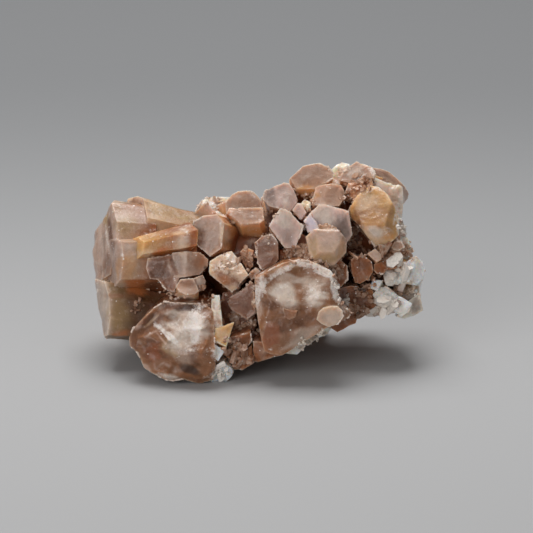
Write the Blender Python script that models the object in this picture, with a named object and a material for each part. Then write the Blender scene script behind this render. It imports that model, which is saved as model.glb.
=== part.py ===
"""Radial aragonite specimen: six-sided prisms grown outwards from one middle, as one solid.

Crystals are listed in the view from the front, in millimetres: across to the right, up, and
out towards the viewer. That view looks down on the specimen by VIEW_TILT, and the finished
solid is turned back by as much and set down on its feet.
"""
import math
import random

import bmesh
import bpy
from mathutils import Matrix, Vector

NAME = "aragonite_cluster"
WIDTH = 75.0                    # overall width of the specimen, mm
LISTED_WIDTH = 75.0             # width at which the crystals below are listed, mm
UNIT = 0.001 * WIDTH / LISTED_WIDTH
VIEW_TILT = math.radians(17.0)
FLOOR = -19.75                  # height of the floor under the listed crystals, mm
RIM = 0.35                      # chamfer round the end of a crystal of the back, mm
AHEAD = 8.0                     # how far a prism runs on before its end faces cut it, mm
SIDE_TAPER = 0.82               # a crystal's root, as a share of its end
DEPTH_BACK = 23.0               # how far behind the middle the crystals at the back reach, mm
SILHOUETTE_MARGIN = 0.7         # how far they stay inside the outline seen from the front, mm
SEED = 11
SPOKES = 26                     # directions tried round each lump
FACING_MOST = 0.12              # crystals of the back don't turn to the viewer more than this
HIDDEN_SIZES = (2.6, 4.4)       # smallest and largest half width of those crystals, mm
HIDDEN_REACHES = (30, 8)        # longest and shortest distance of their ends from the lump, mm
HIDDEN_OUT = 0.0                # their ends stay behind this, mm out towards the viewer
REACH_LEAST = 0.97              # an end stands in from its reach by up to the rest
ROOT_SHARE = 0.75               # their length, as a share of that distance
ROOT_NARROWS = 0.3              # how much narrower the root is than the end
OVAL = 0.16                     # how far from regular their six sides are
CLEARANCE = 0.4                 # how far above the floor they stay, mm
ON_THE_CUT = 1e-5               # a corner this near a cut counts as lying on it, mm
ON_THE_FLOOR = 1e-4             # the same for the cut at the floor, mm
SAME_CORNER = 0.01              # corners of one crystal nearer than this are one, mm

HONEY_MAUVE = (0.38, 0.24, 0.17, 1.0)

# The specimen's outline seen from the front: across, up.
SILHOUETTE = [
    (-38, 4), (-37.5, 7), (-36.7, 11), (-35.6, 14), (-34, 16), (-32, 17), (-27.5, 17.2),
    (-24.8, 17.9), (-20, 16.2), (-15.3, 14.6), (-13.7, 17), (-12.3, 17.9), (-6.8, 18.4),
    (-4, 19.2), (0.6, 19.1), (5, 21), (9.3, 24.9), (13.2, 25.5), (15.3, 24.5), (18.5, 25.7),
    (21.5, 25.9), (27, 24.4), (31, 22), (33.7, 18.8), (32.2, 15.8), (32.3, 9.5), (34, 6),
    (37, 1), (35.8, -4), (36.6, -8), (32, -10), (27.2, -9.4), (21.8, -9.2), (18.5, -12.3),
    (13, -14.3), (8, -18), (2, -18.8), (-3, -21), (-8, -24), (-14, -24.6), (-22, -23.5),
    (-26.8, -20.8), (-30, -14.2), (-33.5, -14.7), (-35.1, -14), (-36.2, -11), (-37.4, -1),
]

# Lumps that the crystals grow from: middle (across, up, out) and half sizes.
CORE = [
    ((-22, 5, -3), (12, 9.5, 9)),
    ((-3, 3, -3), (14, 11.5, 10)),
    ((-16, -12, 2), (10, 9.5, 11)),
    ((6, -8, 1), (11, 8, 10)),
    ((20, 9, -5), (11.5, 11, 9)),
    ((26, -1, -4), (8, 6, 7)),
]


def crystal(outline, at, facing, length, axis=None, taper=SIDE_TAPER, side_on=False, also=()):
    """One prism: its end seen as an outline, a point on its end face and the way that faces.

    A side_on crystal points left, and its outline is (up, out). also holds further end faces.
    """
    return dict(outline=outline, faces=[(at, facing)] + list(also), length=length,
                axis=axis or facing, taper=taper, side_on=side_on)


LEFT_BARREL = [
    crystal([(8.2, 6), (7.6, 8.4), (3, 9.2), (-1, 8), (-4, 3), (-4.4, -2), (0, -6), (8, -4)],
            (-33, 5, 6), (-0.9, 0, 0.45), 17, axis=(-1, 0, 0.02), taper=0.97, side_on=True,
            also=[((-37.6, 3, -3), (-1, -0.15, -0.1))]),
    crystal([(17, -3), (16.5, 1), (12, 4.6), (8, 5.6), (0, 4), (-3, -5), (-2, -11), (4, -14),
             (12, -13), (16.5, -9)],
            (-33.2, 12, 4), (-0.88, 0.1, 0.45), 9, axis=(-1, 0.06, 0.02), taper=0.96,
            side_on=True, also=[((-38, 4, -6), (-1, -0.02, 0)), ((-35.6, 14, -2), (-0.85, 0.5, 0))]),
    crystal([(18, -4), (17.3, -0.5), (13, 3.9), (6, 4.2), (5, -8), (12, -12), (17.5, -9)],
            (-27.5, 14, 0), (-0.9, 0.2, 0.4), 17, axis=(-0.97, 0.2, 0.1), taper=0.8,
            side_on=True),
    crystal([(-0.9, 1), (-1.5, 5), (-5, 6.8), (-10, 6.6), (-13.6, 5), (-14.6, 1), (-12, -4),
             (-3, -5)],
            (-34.9, -7, 6), (-0.88, -0.05, 0.46), 14, axis=(-1, 0.12, 0.05), taper=0.85,
            side_on=True, also=[((-37.3, -4, 0), (-1, -0.2, -0.2))]),
]

HONEY_BAR = [
    crystal([(8.6, 7.5), (7.4, 10.4), (4.6, 10.9), (3.4, 8.5), (3.8, 4), (7.5, 3)],
            (-27.7, 6.5, 9), (-0.85, 0.15, 0.5), 12, axis=(-1, -0.2, 0.05), taper=1.3,
            side_on=True),
]

UPPER_ENDS = [
    crystal([(-16.2, 8.2), (-15.4, 12), (-13.3, 13.4), (-10.2, 13.7), (-8.5, 11.6), (-9.2, 6),
             (-11.8, 4.1)], (-12.5, 9, 8.2), (-0.3, 0.1, 0.95), 17, axis=(-0.45, 0.12, 0.9),
            taper=0.9),
    crystal([(-8.4, 16.5), (-6.8, 18.3), (-5.5, 19), (-3.5, 19.2), (-1.5, 18.6), (-0.3, 17),
             (0.4, 14.8), (0.5, 12.5), (-0.5, 11.7), (-4.8, 11.5), (-6.5, 13), (-8.2, 14)],
            (-4, 15.3, 4), (0, 0.3, 0.95), 16, axis=(-0.1, 0.6, 0.8), taper=0.95),
    crystal([(-8.1, 14), (-7.5, 15.2), (0.2, 15.3), (0.5, 12.5), (-0.5, 11.7), (-4.8, 11.5),
             (-6.5, 13)], (-4, 13.5, 5.3), (0, 0.42, 0.9), 15, axis=(-0.1, 0.6, 0.8),
            taper=0.95),
    crystal([(-15.3, 14.3), (-13.7, 17), (-12.3, 17.9), (-7.5, 17.8), (-7, 12), (-15, 9.5)],
            (-11, 17, -5), (0, 0.5, 0.85), 12, axis=(-0.1, 0.45, 0.8)),
    crystal([(0.3, 17), (0.4, 18.6), (0.8, 19.2), (2.5, 20), (4.8, 21), (6.2, 20.8),
             (7.2, 19.3), (8, 17.3), (7.8, 16.2), (6.5, 14.6), (4, 15), (1.5, 15.6)],
            (3.6, 18, 3), (-0.35, 0.3, 0.9), 15, axis=(-0.05, 0.3, 0.92),
            also=[((3.6, 18, 3), (0.15, 0.3, 0.93))]),
    crystal([(6.3, 22), (7.6, 23.2), (9.3, 24.8), (11.5, 25.3), (13.2, 25.5), (15, 24.6),
             (16.2, 23.2), (16.1, 22), (15, 21.2), (13.5, 20.5), (12.3, 19.6), (7.8, 19.5),
             (7, 20.8)], (11.5, 22.5, 0.5), (-0.05, 0.35, 0.93), 14, axis=(0.05, 0.6, 0.8)),
    crystal([(11.6, 15.8), (11.5, 17.3), (12.2, 19.9), (13.5, 20.4), (15.5, 20.8), (18, 20.3),
             (18.7, 19), (18.3, 17), (17.5, 15.6), (15, 15.5), (13, 15.7)],
            (14.4, 18, 4.6), (-0.3, 0.25, 0.9), 14, axis=(0.05, 0.2, 0.95),
            also=[((14.4, 18, 4.6), (0.12, 0.25, 0.95))]),
    crystal([(8, 16.3), (8.8, 16.2), (10, 14.2), (9, 12.6), (8.5, 12.5), (7, 14.3),
             (6.8, 14.7)], (8.4, 14.5, 5.5), (-0.2, 0.2, 0.95), 10),
    crystal([(8.8, 16.2), (9.2, 16.8), (10.2, 16.9), (11, 16.5), (11, 15), (10.3, 14.5),
             (9.5, 15)], (10, 15.8, 4.6), (0.1, 0.3, 0.95), 8),
    crystal([(17.5, 21.5), (18, 23), (20.2, 25), (21.5, 25.9), (23, 25.3), (25, 24.5),
             (25.8, 23.5), (25.5, 22), (23, 21.8), (20.3, 20.8)],
            (21.5, 23, -1), (-0.25, 0.4, 0.87), 12, axis=(0, 0.35, 0.93)),
    crystal([(18.5, 18), (19.5, 20.8), (24.8, 22), (25.6, 20), (22, 17)],
            (22, 20.3, 0.8), (0, 0.4, 0.9), 10),
    crystal([(15.2, 20), (15.9, 24.2), (17, 25.2), (18.5, 25.7), (20, 25.3), (21, 20)],
            (18, 24, -6), (0, 0.4, 0.9), 8),
    crystal([(24.5, 24.7), (27, 24.4), (29, 23.6), (31, 22), (32.3, 20.7), (33.2, 19.8),
             (33.7, 18.6), (33.4, 17.4), (32.2, 16), (28, 15), (24, 19)],
            (29.5, 21, -7), (0.4, 0.45, 0.8), 11, axis=(0.3, 0.3, 0.9),
            also=[((33, 18, -9.5), (0.95, 0.2, 0.3))]),
    crystal([(25.6, 22.2), (28.3, 21), (31, 20.7), (32, 20), (32.2, 18), (32.1, 15),
             (31.9, 13), (31, 10), (27, 10), (25, 18)],
            (30, 18, -1.5), (0.3, 0.15, 0.94), 10, axis=(0.15, 0.15, 1)),
    crystal([(20.1, 13), (19.7, 15), (21.5, 18), (24.5, 20.3), (26.5, 19.9), (28.5, 18.2),
             (30, 15.5), (31, 12.5), (31, 9), (29.5, 7.6), (28.5, 6.9), (25.5, 6.5),
             (23, 9.7), (21.5, 11.5)],
            (25.5, 14.5, 6), (-0.1, 0.45, 0.88), 14, axis=(0.03, 0.12, 1),
            also=[((26.3, 11.3, 8), (-0.05, -0.45, 0.88)), ((21.5, 12.5, 6), (-0.75, 0.1, 0.65)),
                  ((30, 13, 5.3), (0.7, 0.1, 0.7))]),
]

MIDDLE_ENDS = [
    crystal([(3.9, 14.8), (5.2, 14.9), (6.2, 14.3), (9.2, 11), (8.9, 9.8), (7.6, 6.1),
             (5.2, 6), (3.8, 7.6), (1.5, 11), (2.2, 12.3)],
            (5.3, 10.5, 10.8), (-0.03, 0.02, 1), 16, axis=(0, 0.1, 1)),
    crystal([(-1.8, 7.2), (0, 8.8), (2.2, 9.1), (3.6, 7.5), (3.7, 3.5), (2.5, 1.8),
             (0, 1.1), (-1, 2.7), (-1.3, 4.8)],
            (1.2, 5.5, 10.6), (-0.12, 0.15, 0.97), 15),
    crystal([(10.5, 12.5), (11, 14), (12.8, 15.9), (14, 16), (16.5, 15.3), (19.6, 14.5),
             (20.4, 9), (19.2, 7.3), (15, 6.5), (11, 8.5)],
            (14.5, 13, 9), (-0.03, 0.12, 0.98), 16, axis=(0.05, 0.1, 1), taper=0.9,
            also=[((16.7, 10.3, 9.4), (0.33, -0.13, 0.93))]),
    crystal([(9.3, 12.2), (10.9, 14), (11.3, 13), (12.2, 12), (12.9, 10.2), (10.3, 9.5),
             (9.8, 10.7)], (11, 11.8, 9.8), (-0.25, 0.05, 0.96), 12),
    crystal([(9.8, 8.6), (11.7, 10.4), (16.8, 10.6), (19.1, 7.9), (19, 5), (16.2, 2.1),
             (13, 2.2), (10.7, 4.2)],
            (14.5, 7.5, 13.2), (-0.04, 0.2, 0.97), 16, axis=(0.04, 0.06, 1), taper=0.95,
            also=[((12.3, 6.8, 13.1), (-0.72, 0.05, 0.7)), ((14.5, 5, 13.6), (-0.05, -0.62, 0.78)),
                  ((17, 6, 13.3), (0.7, -0.3, 0.65)), ((14.6, 10, 12.7), (0, 0.8, 0.6))]),
    crystal([(20, 3.5), (21, 4.2), (23.2, 4.3), (24.8, 3), (25.2, 0.7), (24, -1),
             (22.2, -2), (21, -1.8), (20.2, 0.5)],
            (22.6, 1.3, 7.6), (0.05, -0.08, 1), 12),
    crystal([(23.8, 4.8), (25.5, 6), (26.8, 4.8), (27, 3.6), (25.8, 2.9), (24.8, 3.8)],
            (25.4, 4.5, 7.4), (0, 0.3, 0.95), 8),
    crystal([(25.3, 2.5), (27, 3), (28.5, 1.5), (27.5, 0.2), (26, 0.2), (25.2, 1)],
            (26.8, 1.6, 6.6), (0.25, 0.1, 0.95), 8),
    crystal([(26.3, 7), (27.2, 6.9), (28.5, 6.2), (28, 5.2), (26.6, 5.6)],
            (27.3, 6.1, 6.8), (0.1, 0.2, 0.95), 7),
    crystal([(29.2, 6.4), (30, 7.6), (31.5, 7.6), (32.2, 6.3), (31, 5.4), (29.8, 5.7)],
            (30.8, 6.5, 5), (0.3, 0.2, 0.9), 8),
    crystal([(26.5, 5.3), (29.5, 6), (31.5, 4.6), (30.5, 1.5), (27.5, 1)],
            (29, 3.8, 5.2), (0.2, 0.2, 0.95), 8),
    crystal([(30, 13), (31.9, 12.8), (32.3, 9.5), (33.3, 8), (34, 6), (33, 3.5), (30, 4),
             (29, 9)], (31.8, 8, 0.5), (0.35, 0.1, 0.93), 9, axis=(0.15, 0, 1)),
    crystal([(16, 3), (17.5, 3.6), (19.3, 2), (19.3, -1), (17.8, -2.8), (16.5, -1.5),
             (16, 0)], (17.6, 0.8, 9.8), (0.2, 0, 0.97), 11),
    crystal([(3.8, 5.8), (6.9, 6), (8, 5.5), (9.5, 4), (5.5, 2.8), (4, 2.4)],
            (6.5, 4.5, 9), (0, 0.4, 0.9), 8),
    crystal([(8, 8), (9, 9.3), (10.2, 8.5), (10.8, 4), (8.2, 3.5)],
            (9.4, 7, 8.6), (0.1, 0.15, 0.95), 10),
    crystal([(-3.3, 0), (-1.5, 1.7), (-0.3, 0.9), (-0.6, -0.5), (-2.3, -0.9)],
            (-1.7, 0.4, 11), (-0.1, 0.2, 0.95), 8),
    crystal([(-4.9, 5.3), (-3.9, 6.4), (-1.9, 5.6), (-2, 2), (-3.2, 0.8), (-4.2, 2.6)],
            (-3.2, 3.8, 8.6), (0, 0.2, 0.97), 8),
    crystal([(-26.2, 1.5), (-25.8, 3.8), (-20.2, 4.6), (-18.5, -0.5), (-19.8, -3.9),
             (-21.2, -3.8), (-23.6, -1.1), (-25.3, -0.9)],
            (-22, 1.2, 10.2), (-0.12, 0.02, 0.99), 14, axis=(-0.15, 0, 1)),
    crystal([(-20.3, 5), (-17, 5.4), (-14, 5.1), (-12.1, 3.5), (-12.2, 2), (-14, 0),
             (-17.8, -0.6), (-20, -0.6)],
            (-17.1, 3, 11.2), (-0.3, 0.08, 0.95), 14, axis=(0, 0.05, 1),
            also=[((-17.1, 3, 11.2), (0.33, 0.06, 0.94))]),
    crystal([(-19.4, -2.5), (-18.4, -0.9), (-15.5, -0.7), (-14.8, -2), (-14.2, -3.5),
             (-15, -4.2), (-17, -4.5), (-18.8, -3.7)],
            (-16.8, -2.6, 12.9), (-0.04, 0.3, 0.95), 11, axis=(0, 0.5, 0.87), taper=1.0),
    crystal([(-15.4, -0.8), (-13.3, 0.1), (-12.6, -1.5), (-13.2, -3.2), (-14.6, -4)],
            (-14, -1.8, 12.2), (0.3, 0.15, 0.94), 9),
    crystal([(-12, 0.8), (-11.8, 3.1), (-8.8, 5), (-6.8, 5.4), (-5, 3.2), (-3, 0),
             (-4.2, -1.2), (-5.3, -3), (-6.9, -3.8), (-11.8, 0.1)],
            (-7.5, 1.2, 12.6), (-0.05, 0.45, 0.9), 14, axis=(-0.05, 0.1, 1),
            also=[((-8, 0.4, 12.8), (-0.12, -0.38, 0.9))]),
    crystal([(-7.8, -6.3), (-7.3, -5), (-5.5, -4), (-4, -3.2), (-2.5, -1.5), (-1.9, -3),
             (-1.4, -8.5), (-3.4, -10.1), (-7, -7.8)],
            (-4.2, -6, 11.2), (-0.12, -0.12, 0.98), 14, axis=(-0.05, 0, 1)),
]

LOWER_ENDS = [
    crystal([(-1.7, -0.8), (2, 1.3), (4.5, 2.7), (8, 3.5), (10.5, 3.2), (13, 2.2),
             (15.5, 1), (16.5, -0.7), (16.9, -2.8), (17.2, -5), (18, -6.8), (20, -8.5),
             (19.5, -9.5), (14.5, -12), (12, -13.5), (9, -15.3), (4.5, -18.1), (2, -17.8),
             (0.5, -17.2), (-0.3, -14), (-1, -10), (-1.5, -6)],
            (7.5, -5.8, 17.6), (0.03, 0.26, 0.96), 22, axis=(0.05, -0.25, 1), taper=0.8,
            also=[((7.5, -5.8, 17.6), (0.05, -0.24, 0.97)),
                  ((1.3, -8, 17.3), (-0.6, -0.05, 0.8)), ((15.8, -4, 16.6), (0.55, 0.1, 0.82))]),
    crystal([(12.2, -10), (12.7, -8.3), (13.8, -7.3), (15.5, -7), (17, -7), (18.1, -8),
             (18.2, -9.3), (17, -11), (15, -11.7), (13.3, -11)],
            (15.3, -9.3, 18.1), (0.15, -0.1, 0.98), 6),
    crystal([(4.6, -7.5), (8, -8), (7.5, -9.5), (6, -10.2), (5, -9.5)],
            (6.4, -8.8, 17.6), (-0.1, -0.3, 0.95), 5),
    crystal([(17.3, -3), (20, -2.4), (25, -2.8), (26.2, -8.5), (23.5, -9), (21.8, -9.2),
             (21.2, -11), (19.8, -11.5), (18.5, -12.3), (17, -13), (14, -11)],
            (20.5, -7, 5.5), (0.15, -0.3, 0.94), 14, axis=(0.2, -0.15, 1)),
    crystal([(4.5, -17.6), (8, -18), (9.6, -16), (8, -14), (5, -15)],
            (7, -16.3, 12.5), (0.1, -0.3, 0.95), 8),
    crystal([(8.5, -16.2), (11, -15.5), (12.6, -14), (10, -12.8)],
            (10.5, -14.8, 11.6), (0.15, -0.3, 0.94), 8),
    crystal([(12, -14.5), (14.5, -13.5), (15.8, -12), (13, -11.5)],
            (14, -13, 11), (0.2, -0.3, 0.93), 8),
    crystal([(-2, -19.5), (-1, -19.7), (2, -18.8), (4.5, -18.1), (3.5, -15), (-2, -15)],
            (1, -17.8, 11), (0, -0.4, 0.92), 12, axis=(0, -0.4, 1)),
    crystal([(-29, -12), (-24.5, -7.5), (-22, -6), (-13, -6.5), (-10.9, -8), (-10.6, -14.5),
             (-10.2, -19), (-11, -23.6), (-14, -24.6), (-16, -24), (-18, -23.4), (-20, -23.8),
             (-22, -23.5), (-25, -22), (-26.8, -20.8), (-27.3, -19), (-28, -17.5),
             (-29.8, -16), (-30, -14.2)],
            (-20, -12, 15.4), (-0.05, 0.33, 0.94), 24, axis=(-0.15, -0.4, 1), taper=0.78,
            also=[((-25.5, -14.3, 15.8), (-0.45, -0.33, 0.83)), ((-16, -18.5, 17), (0.1, -0.6, 0.8)),
                  ((-27.5, -14.5, 14.4), (-0.8, 0.1, 0.6))]),
    crystal([(-11.3, -4.5), (-9.5, -4.5), (-9, -9.3), (-8.8, -11.8), (-10.9, -12),
             (-11.5, -9.3)], (-10.2, -9, 14.6), (0, 0.15, 0.98), 12),
    crystal([(-10.6, -12), (-6.2, -10.5), (-8, -16.2), (-10.8, -14.8)],
            (-9, -13, 15.4), (0.15, 0.2, 0.96), 12),
    crystal([(-11.4, -15.2), (-8.1, -16.8), (-9.8, -19.3), (-12, -17.6)],
            (-10.2, -17.2, 16.2), (0.15, 0, 0.98), 9),
    crystal([(-12.6, -23), (-11.5, -21.2), (-9, -19.7), (-6.8, -21), (-6.3, -22.5),
             (-8, -24), (-11, -24.5)], (-9.5, -22, 12.7), (0.1, -0.6, 0.8), 14,
            axis=(0, -0.45, 1), taper=0.9),
    crystal([(-8.2, -18.3), (-7.2, -14), (-5, -13.5), (-2.5, -12.7), (-2.3, -15),
             (-5.3, -18.6), (-7, -19.2)], (-5.5, -15.8, 12.6), (0.15, -0.05, 0.98), 12, axis=(0.1, -0.3, 1)),
    crystal([(-7, -18.9), (-5.3, -18.2), (-2.3, -15.8), (-2, -20), (-4.5, -21.5),
             (-6.6, -21.3)], (-4.3, -19, 11.4), (0.2, -0.2, 0.95), 12, axis=(0.1, -0.4, 1)),
    crystal([(-9, -4), (-6.5, -3.5), (-1.5, -9.5), (-2, -15), (-7, -16), (-10.5, -10)],
            (-6, -9, 7), (0, 0, 1), 10),
]

PALE_CORNER = [
    crystal([(24.2, -2.9), (25.2, -0.7), (27.2, -1.3), (26, -3.6)],
            (25.7, -2, 6), (-0.2, 0.3, 0.93), 7),
    crystal([(27.5, 0.5), (29, 2), (30.5, 3), (32.5, 3), (34.5, 4), (36.5, 3), (37, 1),
             (36.5, -1), (35, -2.4), (32, -2), (28.5, -2)],
            (31.5, 1, 3.6), (0.05, 0.35, 0.93), 11, axis=(0.15, 0.05, 1),
            also=[((34.5, 1.5, 3), (0.65, 0.1, 0.75))]),
    crystal([(25, -4.5), (26.5, -2.7), (28, -2.7), (31, -4.6), (34, -6.5), (33, -8.5),
             (31.5, -9.5), (29.8, -8.3), (26, -6.5)],
            (29, -5.6, 6.4), (0.15, 0.42, 0.9), 9, axis=(0.05, 0, 1),
            also=[((29, -5.8, 6.4), (-0.05, -0.3, 0.95))]),
    crystal([(33, -6), (35.7, -4), (36.6, -8), (34.5, -9.3), (32, -10), (30.5, -9.5)],
            (34, -7.5, 3), (0.35, 0, 0.93), 9, axis=(0.1, 0, 1)),
    crystal([(26, -7.5), (26.2, -8.8), (27.2, -9.4), (28, -8.8), (27.8, -7)],
            (27, -8.2, 5), (0, -0.1, 1), 6),
    crystal([(34.2, 4), (35, 4.3), (36.3, 3.2), (37, 1), (36.3, -1.5), (35.8, -4),
             (34.5, -4), (33.5, 0)], (35.5, 0, 1.5), (0.6, 0, 0.8), 9, axis=(0.1, 0, 1)),
    crystal([(30, -4.6), (30.5, -1.5), (35.4, -1.5), (35.8, -5), (34, -7)],
            (33, -3.5, 1.8), (0.1, 0.1, 0.98), 8),
]

# Feet at the back and crystals of the top that faces away from the front.
BACK_FEET = [
    crystal([(9, -10), (12, -8.5), (15.5, -10), (15, -13.1), (12.6, -14.2), (9.5, -15.2)],
            (12.3, -12.5, -22), (0.1, -0.35, -0.93), 20, taper=1.1),
    crystal([(-25, -12), (-21, -9.5), (-16.5, -11), (-16, -14.6), (-19.5, -16.2), (-24, -15)],
            (-20.5, -13.5, -18), (-0.2, -0.5, -0.85), 18, taper=1.2),
    crystal([(-7, -12), (-3, -10), (1.5, -12), (1.5, -15), (-3, -16.6), (-7, -15)],
            (-3, -14, -14), (0, -0.5, -0.85), 14, taper=1.2),
]


def end_ring(item):
    """The corners of a crystal's end: its outline laid on the lowest of its end faces."""
    lowest = min if item["side_on"] or item["axis"][2] > 0 else max
    ring = []
    for first, second in item["outline"]:
        levels = []
        for at, facing in item["faces"]:
            if item["side_on"]:
                up, out = first - at[1], second - at[2]
                levels.append(-at[0] + (facing[1] * up + facing[2] * out) / facing[0])
            else:
                across, up = first - at[0], second - at[1]
                levels.append(at[2] - (facing[0] * across + facing[1] * up) / facing[2])
        level = lowest(levels)
        ring.append(Vector((-level, first, second) if item["side_on"]
                           else (first, second, level)))
    return ring


def loft(rings):
    """A closed mesh through rings of corners, from the root to the end."""
    bm = bmesh.new()
    rows = [[bm.verts.new(p) for p in ring] for ring in rings]
    count = len(rows[0])
    for low, high in zip(rows, rows[1:]):
        for k in range(count):
            bm.faces.new((low[k - 1], low[k], high[k], high[k - 1]))
    bm.faces.new(rows[0])
    bm.faces.new(rows[-1])
    bmesh.ops.recalc_face_normals(bm, faces=bm.faces[:])
    return bm


def prism(item):
    """A crystal as a mesh: a tapered prism along its axis, cut off by its end faces."""
    ring = end_ring(item)
    axis = Vector(item["axis"]).normalized()
    middle = sum(ring, Vector()) / len(ring)
    length = item["length"]
    widen = (1.0 - item["taper"]) * AHEAD / length
    root = [middle - axis * length + (p - middle) * item["taper"] for p in ring]
    front = [p + axis * AHEAD + (p - middle) * widen for p in ring]
    bm = loft([root, front])
    for at, facing in item["faces"]:
        whole = bm.verts[:] + bm.edges[:] + bm.faces[:]
        bmesh.ops.bisect_plane(bm, geom=whole, dist=ON_THE_CUT, plane_co=at, plane_no=facing,
                               clear_outer=True)
        bmesh.ops.holes_fill(bm, edges=[e for e in bm.edges if e.is_boundary])
    bmesh.ops.remove_doubles(bm, verts=bm.verts[:], dist=SAME_CORNER)
    bmesh.ops.recalc_face_normals(bm, faces=bm.faces[:])
    return bm


def lump(middle, half_sizes):
    """A rounded lump of the mass that the crystals grow from."""
    bm = bmesh.new()
    bmesh.ops.create_icosphere(bm, subdivisions=2, radius=1.0)
    bmesh.ops.scale(bm, vec=half_sizes, verts=bm.verts[:])
    bmesh.ops.translate(bm, vec=middle, verts=bm.verts[:])
    return bm


def inside_by(across, up, margin):
    """Whether a point of the front view is inside the silhouette by a margin."""
    inside = False
    nearest = 1e9
    for k, (x1, y1) in enumerate(SILHOUETTE):
        x0, y0 = SILHOUETTE[k - 1]
        if (y0 > up) != (y1 > up) and across < (x1 - x0) * (up - y0) / (y1 - y0) + x0:
            inside = not inside
        run = Vector((x1 - x0, y1 - y0))
        off = Vector((across - x0, up - y0))
        share = max(0.0, min(1.0, off.dot(run) / run.length_squared))
        nearest = min(nearest, (off - run * share).length)
    return inside and nearest > margin


def within_depth(point):
    """Whether a listed point is above the floor and not too far behind."""
    height = point.y * math.cos(VIEW_TILT) + point.z * math.sin(VIEW_TILT)
    behind = point.y * math.sin(VIEW_TILT) - point.z * math.cos(VIEW_TILT)
    return height > FLOOR + CLEARANCE and behind < DEPTH_BACK


def hidden_crystals():
    """Six-sided prisms that radiate from the lumps at the back, inside the silhouette."""
    rng = random.Random(SEED)
    golden = math.pi * (3.0 - math.sqrt(5.0))
    longest, shortest = HIDDEN_REACHES
    made = []
    for middle, half_sizes in CORE:
        start = rng.uniform(0.0, math.tau)
        for k in range(SPOKES):
            height = 1.0 - 2.0 * (k + 0.5) / SPOKES
            turn = start + golden * k
            flat = math.sqrt(1.0 - height * height)
            axis = Vector((flat * math.cos(turn), height, flat * math.sin(turn)))
            if axis.z > FACING_MOST:
                continue
            size = rng.uniform(*HIDDEN_SIZES)
            for reach in range(longest, shortest - 1, -1):
                at = Vector(middle) + axis * reach * rng.uniform(REACH_LEAST, 1.0)
                ring = hexagon(at, axis, size, rng.uniform(0.0, 1.0))
                fits = all(inside_by(p.x, p.y, SILHOUETTE_MARGIN) and within_depth(p)
                           for p in ring)
                if fits:
                    made.append((at, axis, ring, reach))
                    break
    return [item for item in made if max(p.z for p in item[2]) < HIDDEN_OUT]


def hexagon(at, axis, size, turn):
    """The corners of a six-sided end of a crystal, square to its axis."""
    side = axis.orthogonal().normalized()
    other = axis.cross(side)
    ring = []
    for k in range(6):
        angle = math.tau * (k + turn) / 6
        stretch = 1.0 + OVAL * math.cos(2 * angle + 5 * turn)
        ring.append(at + (side * math.cos(angle) + other * math.sin(angle)) * size * stretch)
    return ring


def hidden_prism(at, axis, ring, reach):
    """A crystal of the back: a six-sided prism with a chamfered end."""
    root = [p - axis * reach * ROOT_SHARE + (at - p) * ROOT_NARROWS for p in ring]
    shoulder = [p - axis * RIM for p in ring]
    end = [p + (at - p).normalized() * RIM for p in ring]
    return loft([root, shoulder, end])


def object_from(bm, name, collection):
    """A mesh object of one crystal, in the listed places."""
    mesh = bpy.data.meshes.new(name)
    bm.to_mesh(mesh)
    bm.free()
    made = bpy.data.objects.new(name, mesh)
    collection.objects.link(made)
    return made


def join(base, others):
    """One mesh of an object and a collection of others: the union's outer shell."""
    union = base.modifiers.new("grown together", "BOOLEAN")
    union.operation = "UNION"
    union.operand_type = "COLLECTION"
    union.collection = others
    union.solver = "EXACT"
    depsgraph = bpy.context.evaluated_depsgraph_get()
    mesh = bpy.data.meshes.new_from_object(base.evaluated_get(depsgraph))
    bm = bmesh.new()
    bm.from_mesh(mesh)
    keep_outer_shell(bm)
    return bm


def keep_outer_shell(bm):
    """Removes every shell but the largest: a hollow shut in between crystals is filled."""
    left = set(bm.faces)
    shells = []
    while left:
        shell = set()
        front = [next(iter(left))]
        while front:
            face = front.pop()
            if face not in shell:
                shell.add(face)
                front += [n for edge in face.edges for n in edge.link_faces]
        left -= shell
        shells.append(shell)
    largest = max(shells, key=len)
    inner = [face for shell in shells if shell is not largest for face in shell]
    bmesh.ops.delete(bm, geom=inner, context="FACES")


def set_down(bm):
    """Turns the solid level, cuts its feet flat and puts it on the floor, in metres."""
    bmesh.ops.transform(bm, matrix=Matrix.Rotation(math.pi / 2 - VIEW_TILT, 4, "X"),
                        verts=bm.verts[:])
    whole = bm.verts[:] + bm.edges[:] + bm.faces[:]
    bmesh.ops.bisect_plane(bm, geom=whole, dist=ON_THE_FLOOR, plane_co=(0, 0, FLOOR),
                           plane_no=(0, 0, -1), clear_outer=True)
    bmesh.ops.holes_fill(bm, edges=[e for e in bm.edges if e.is_boundary])
    low = [min(v.co[k] for v in bm.verts) for k in range(3)]
    high = [max(v.co[k] for v in bm.verts) for k in range(3)]
    middle = Vector(((low[0] + high[0]) / 2, (low[1] + high[1]) / 2, FLOOR))
    bmesh.ops.translate(bm, vec=-middle, verts=bm.verts[:])
    bmesh.ops.scale(bm, vec=(UNIT, UNIT, UNIT), verts=bm.verts[:])


def stone():
    """The crystals' colour: satin, honey to mauve brown."""
    made = bpy.data.materials.new("aragonite")
    made.use_nodes = True
    shader = made.node_tree.nodes["Principled BSDF"]
    shader.inputs["Base Color"].default_value = HONEY_MAUVE
    shader.inputs["Roughness"].default_value = 0.4
    shader.inputs["Metallic"].default_value = 0.0
    made.diffuse_color = HONEY_MAUVE
    return made


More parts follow.
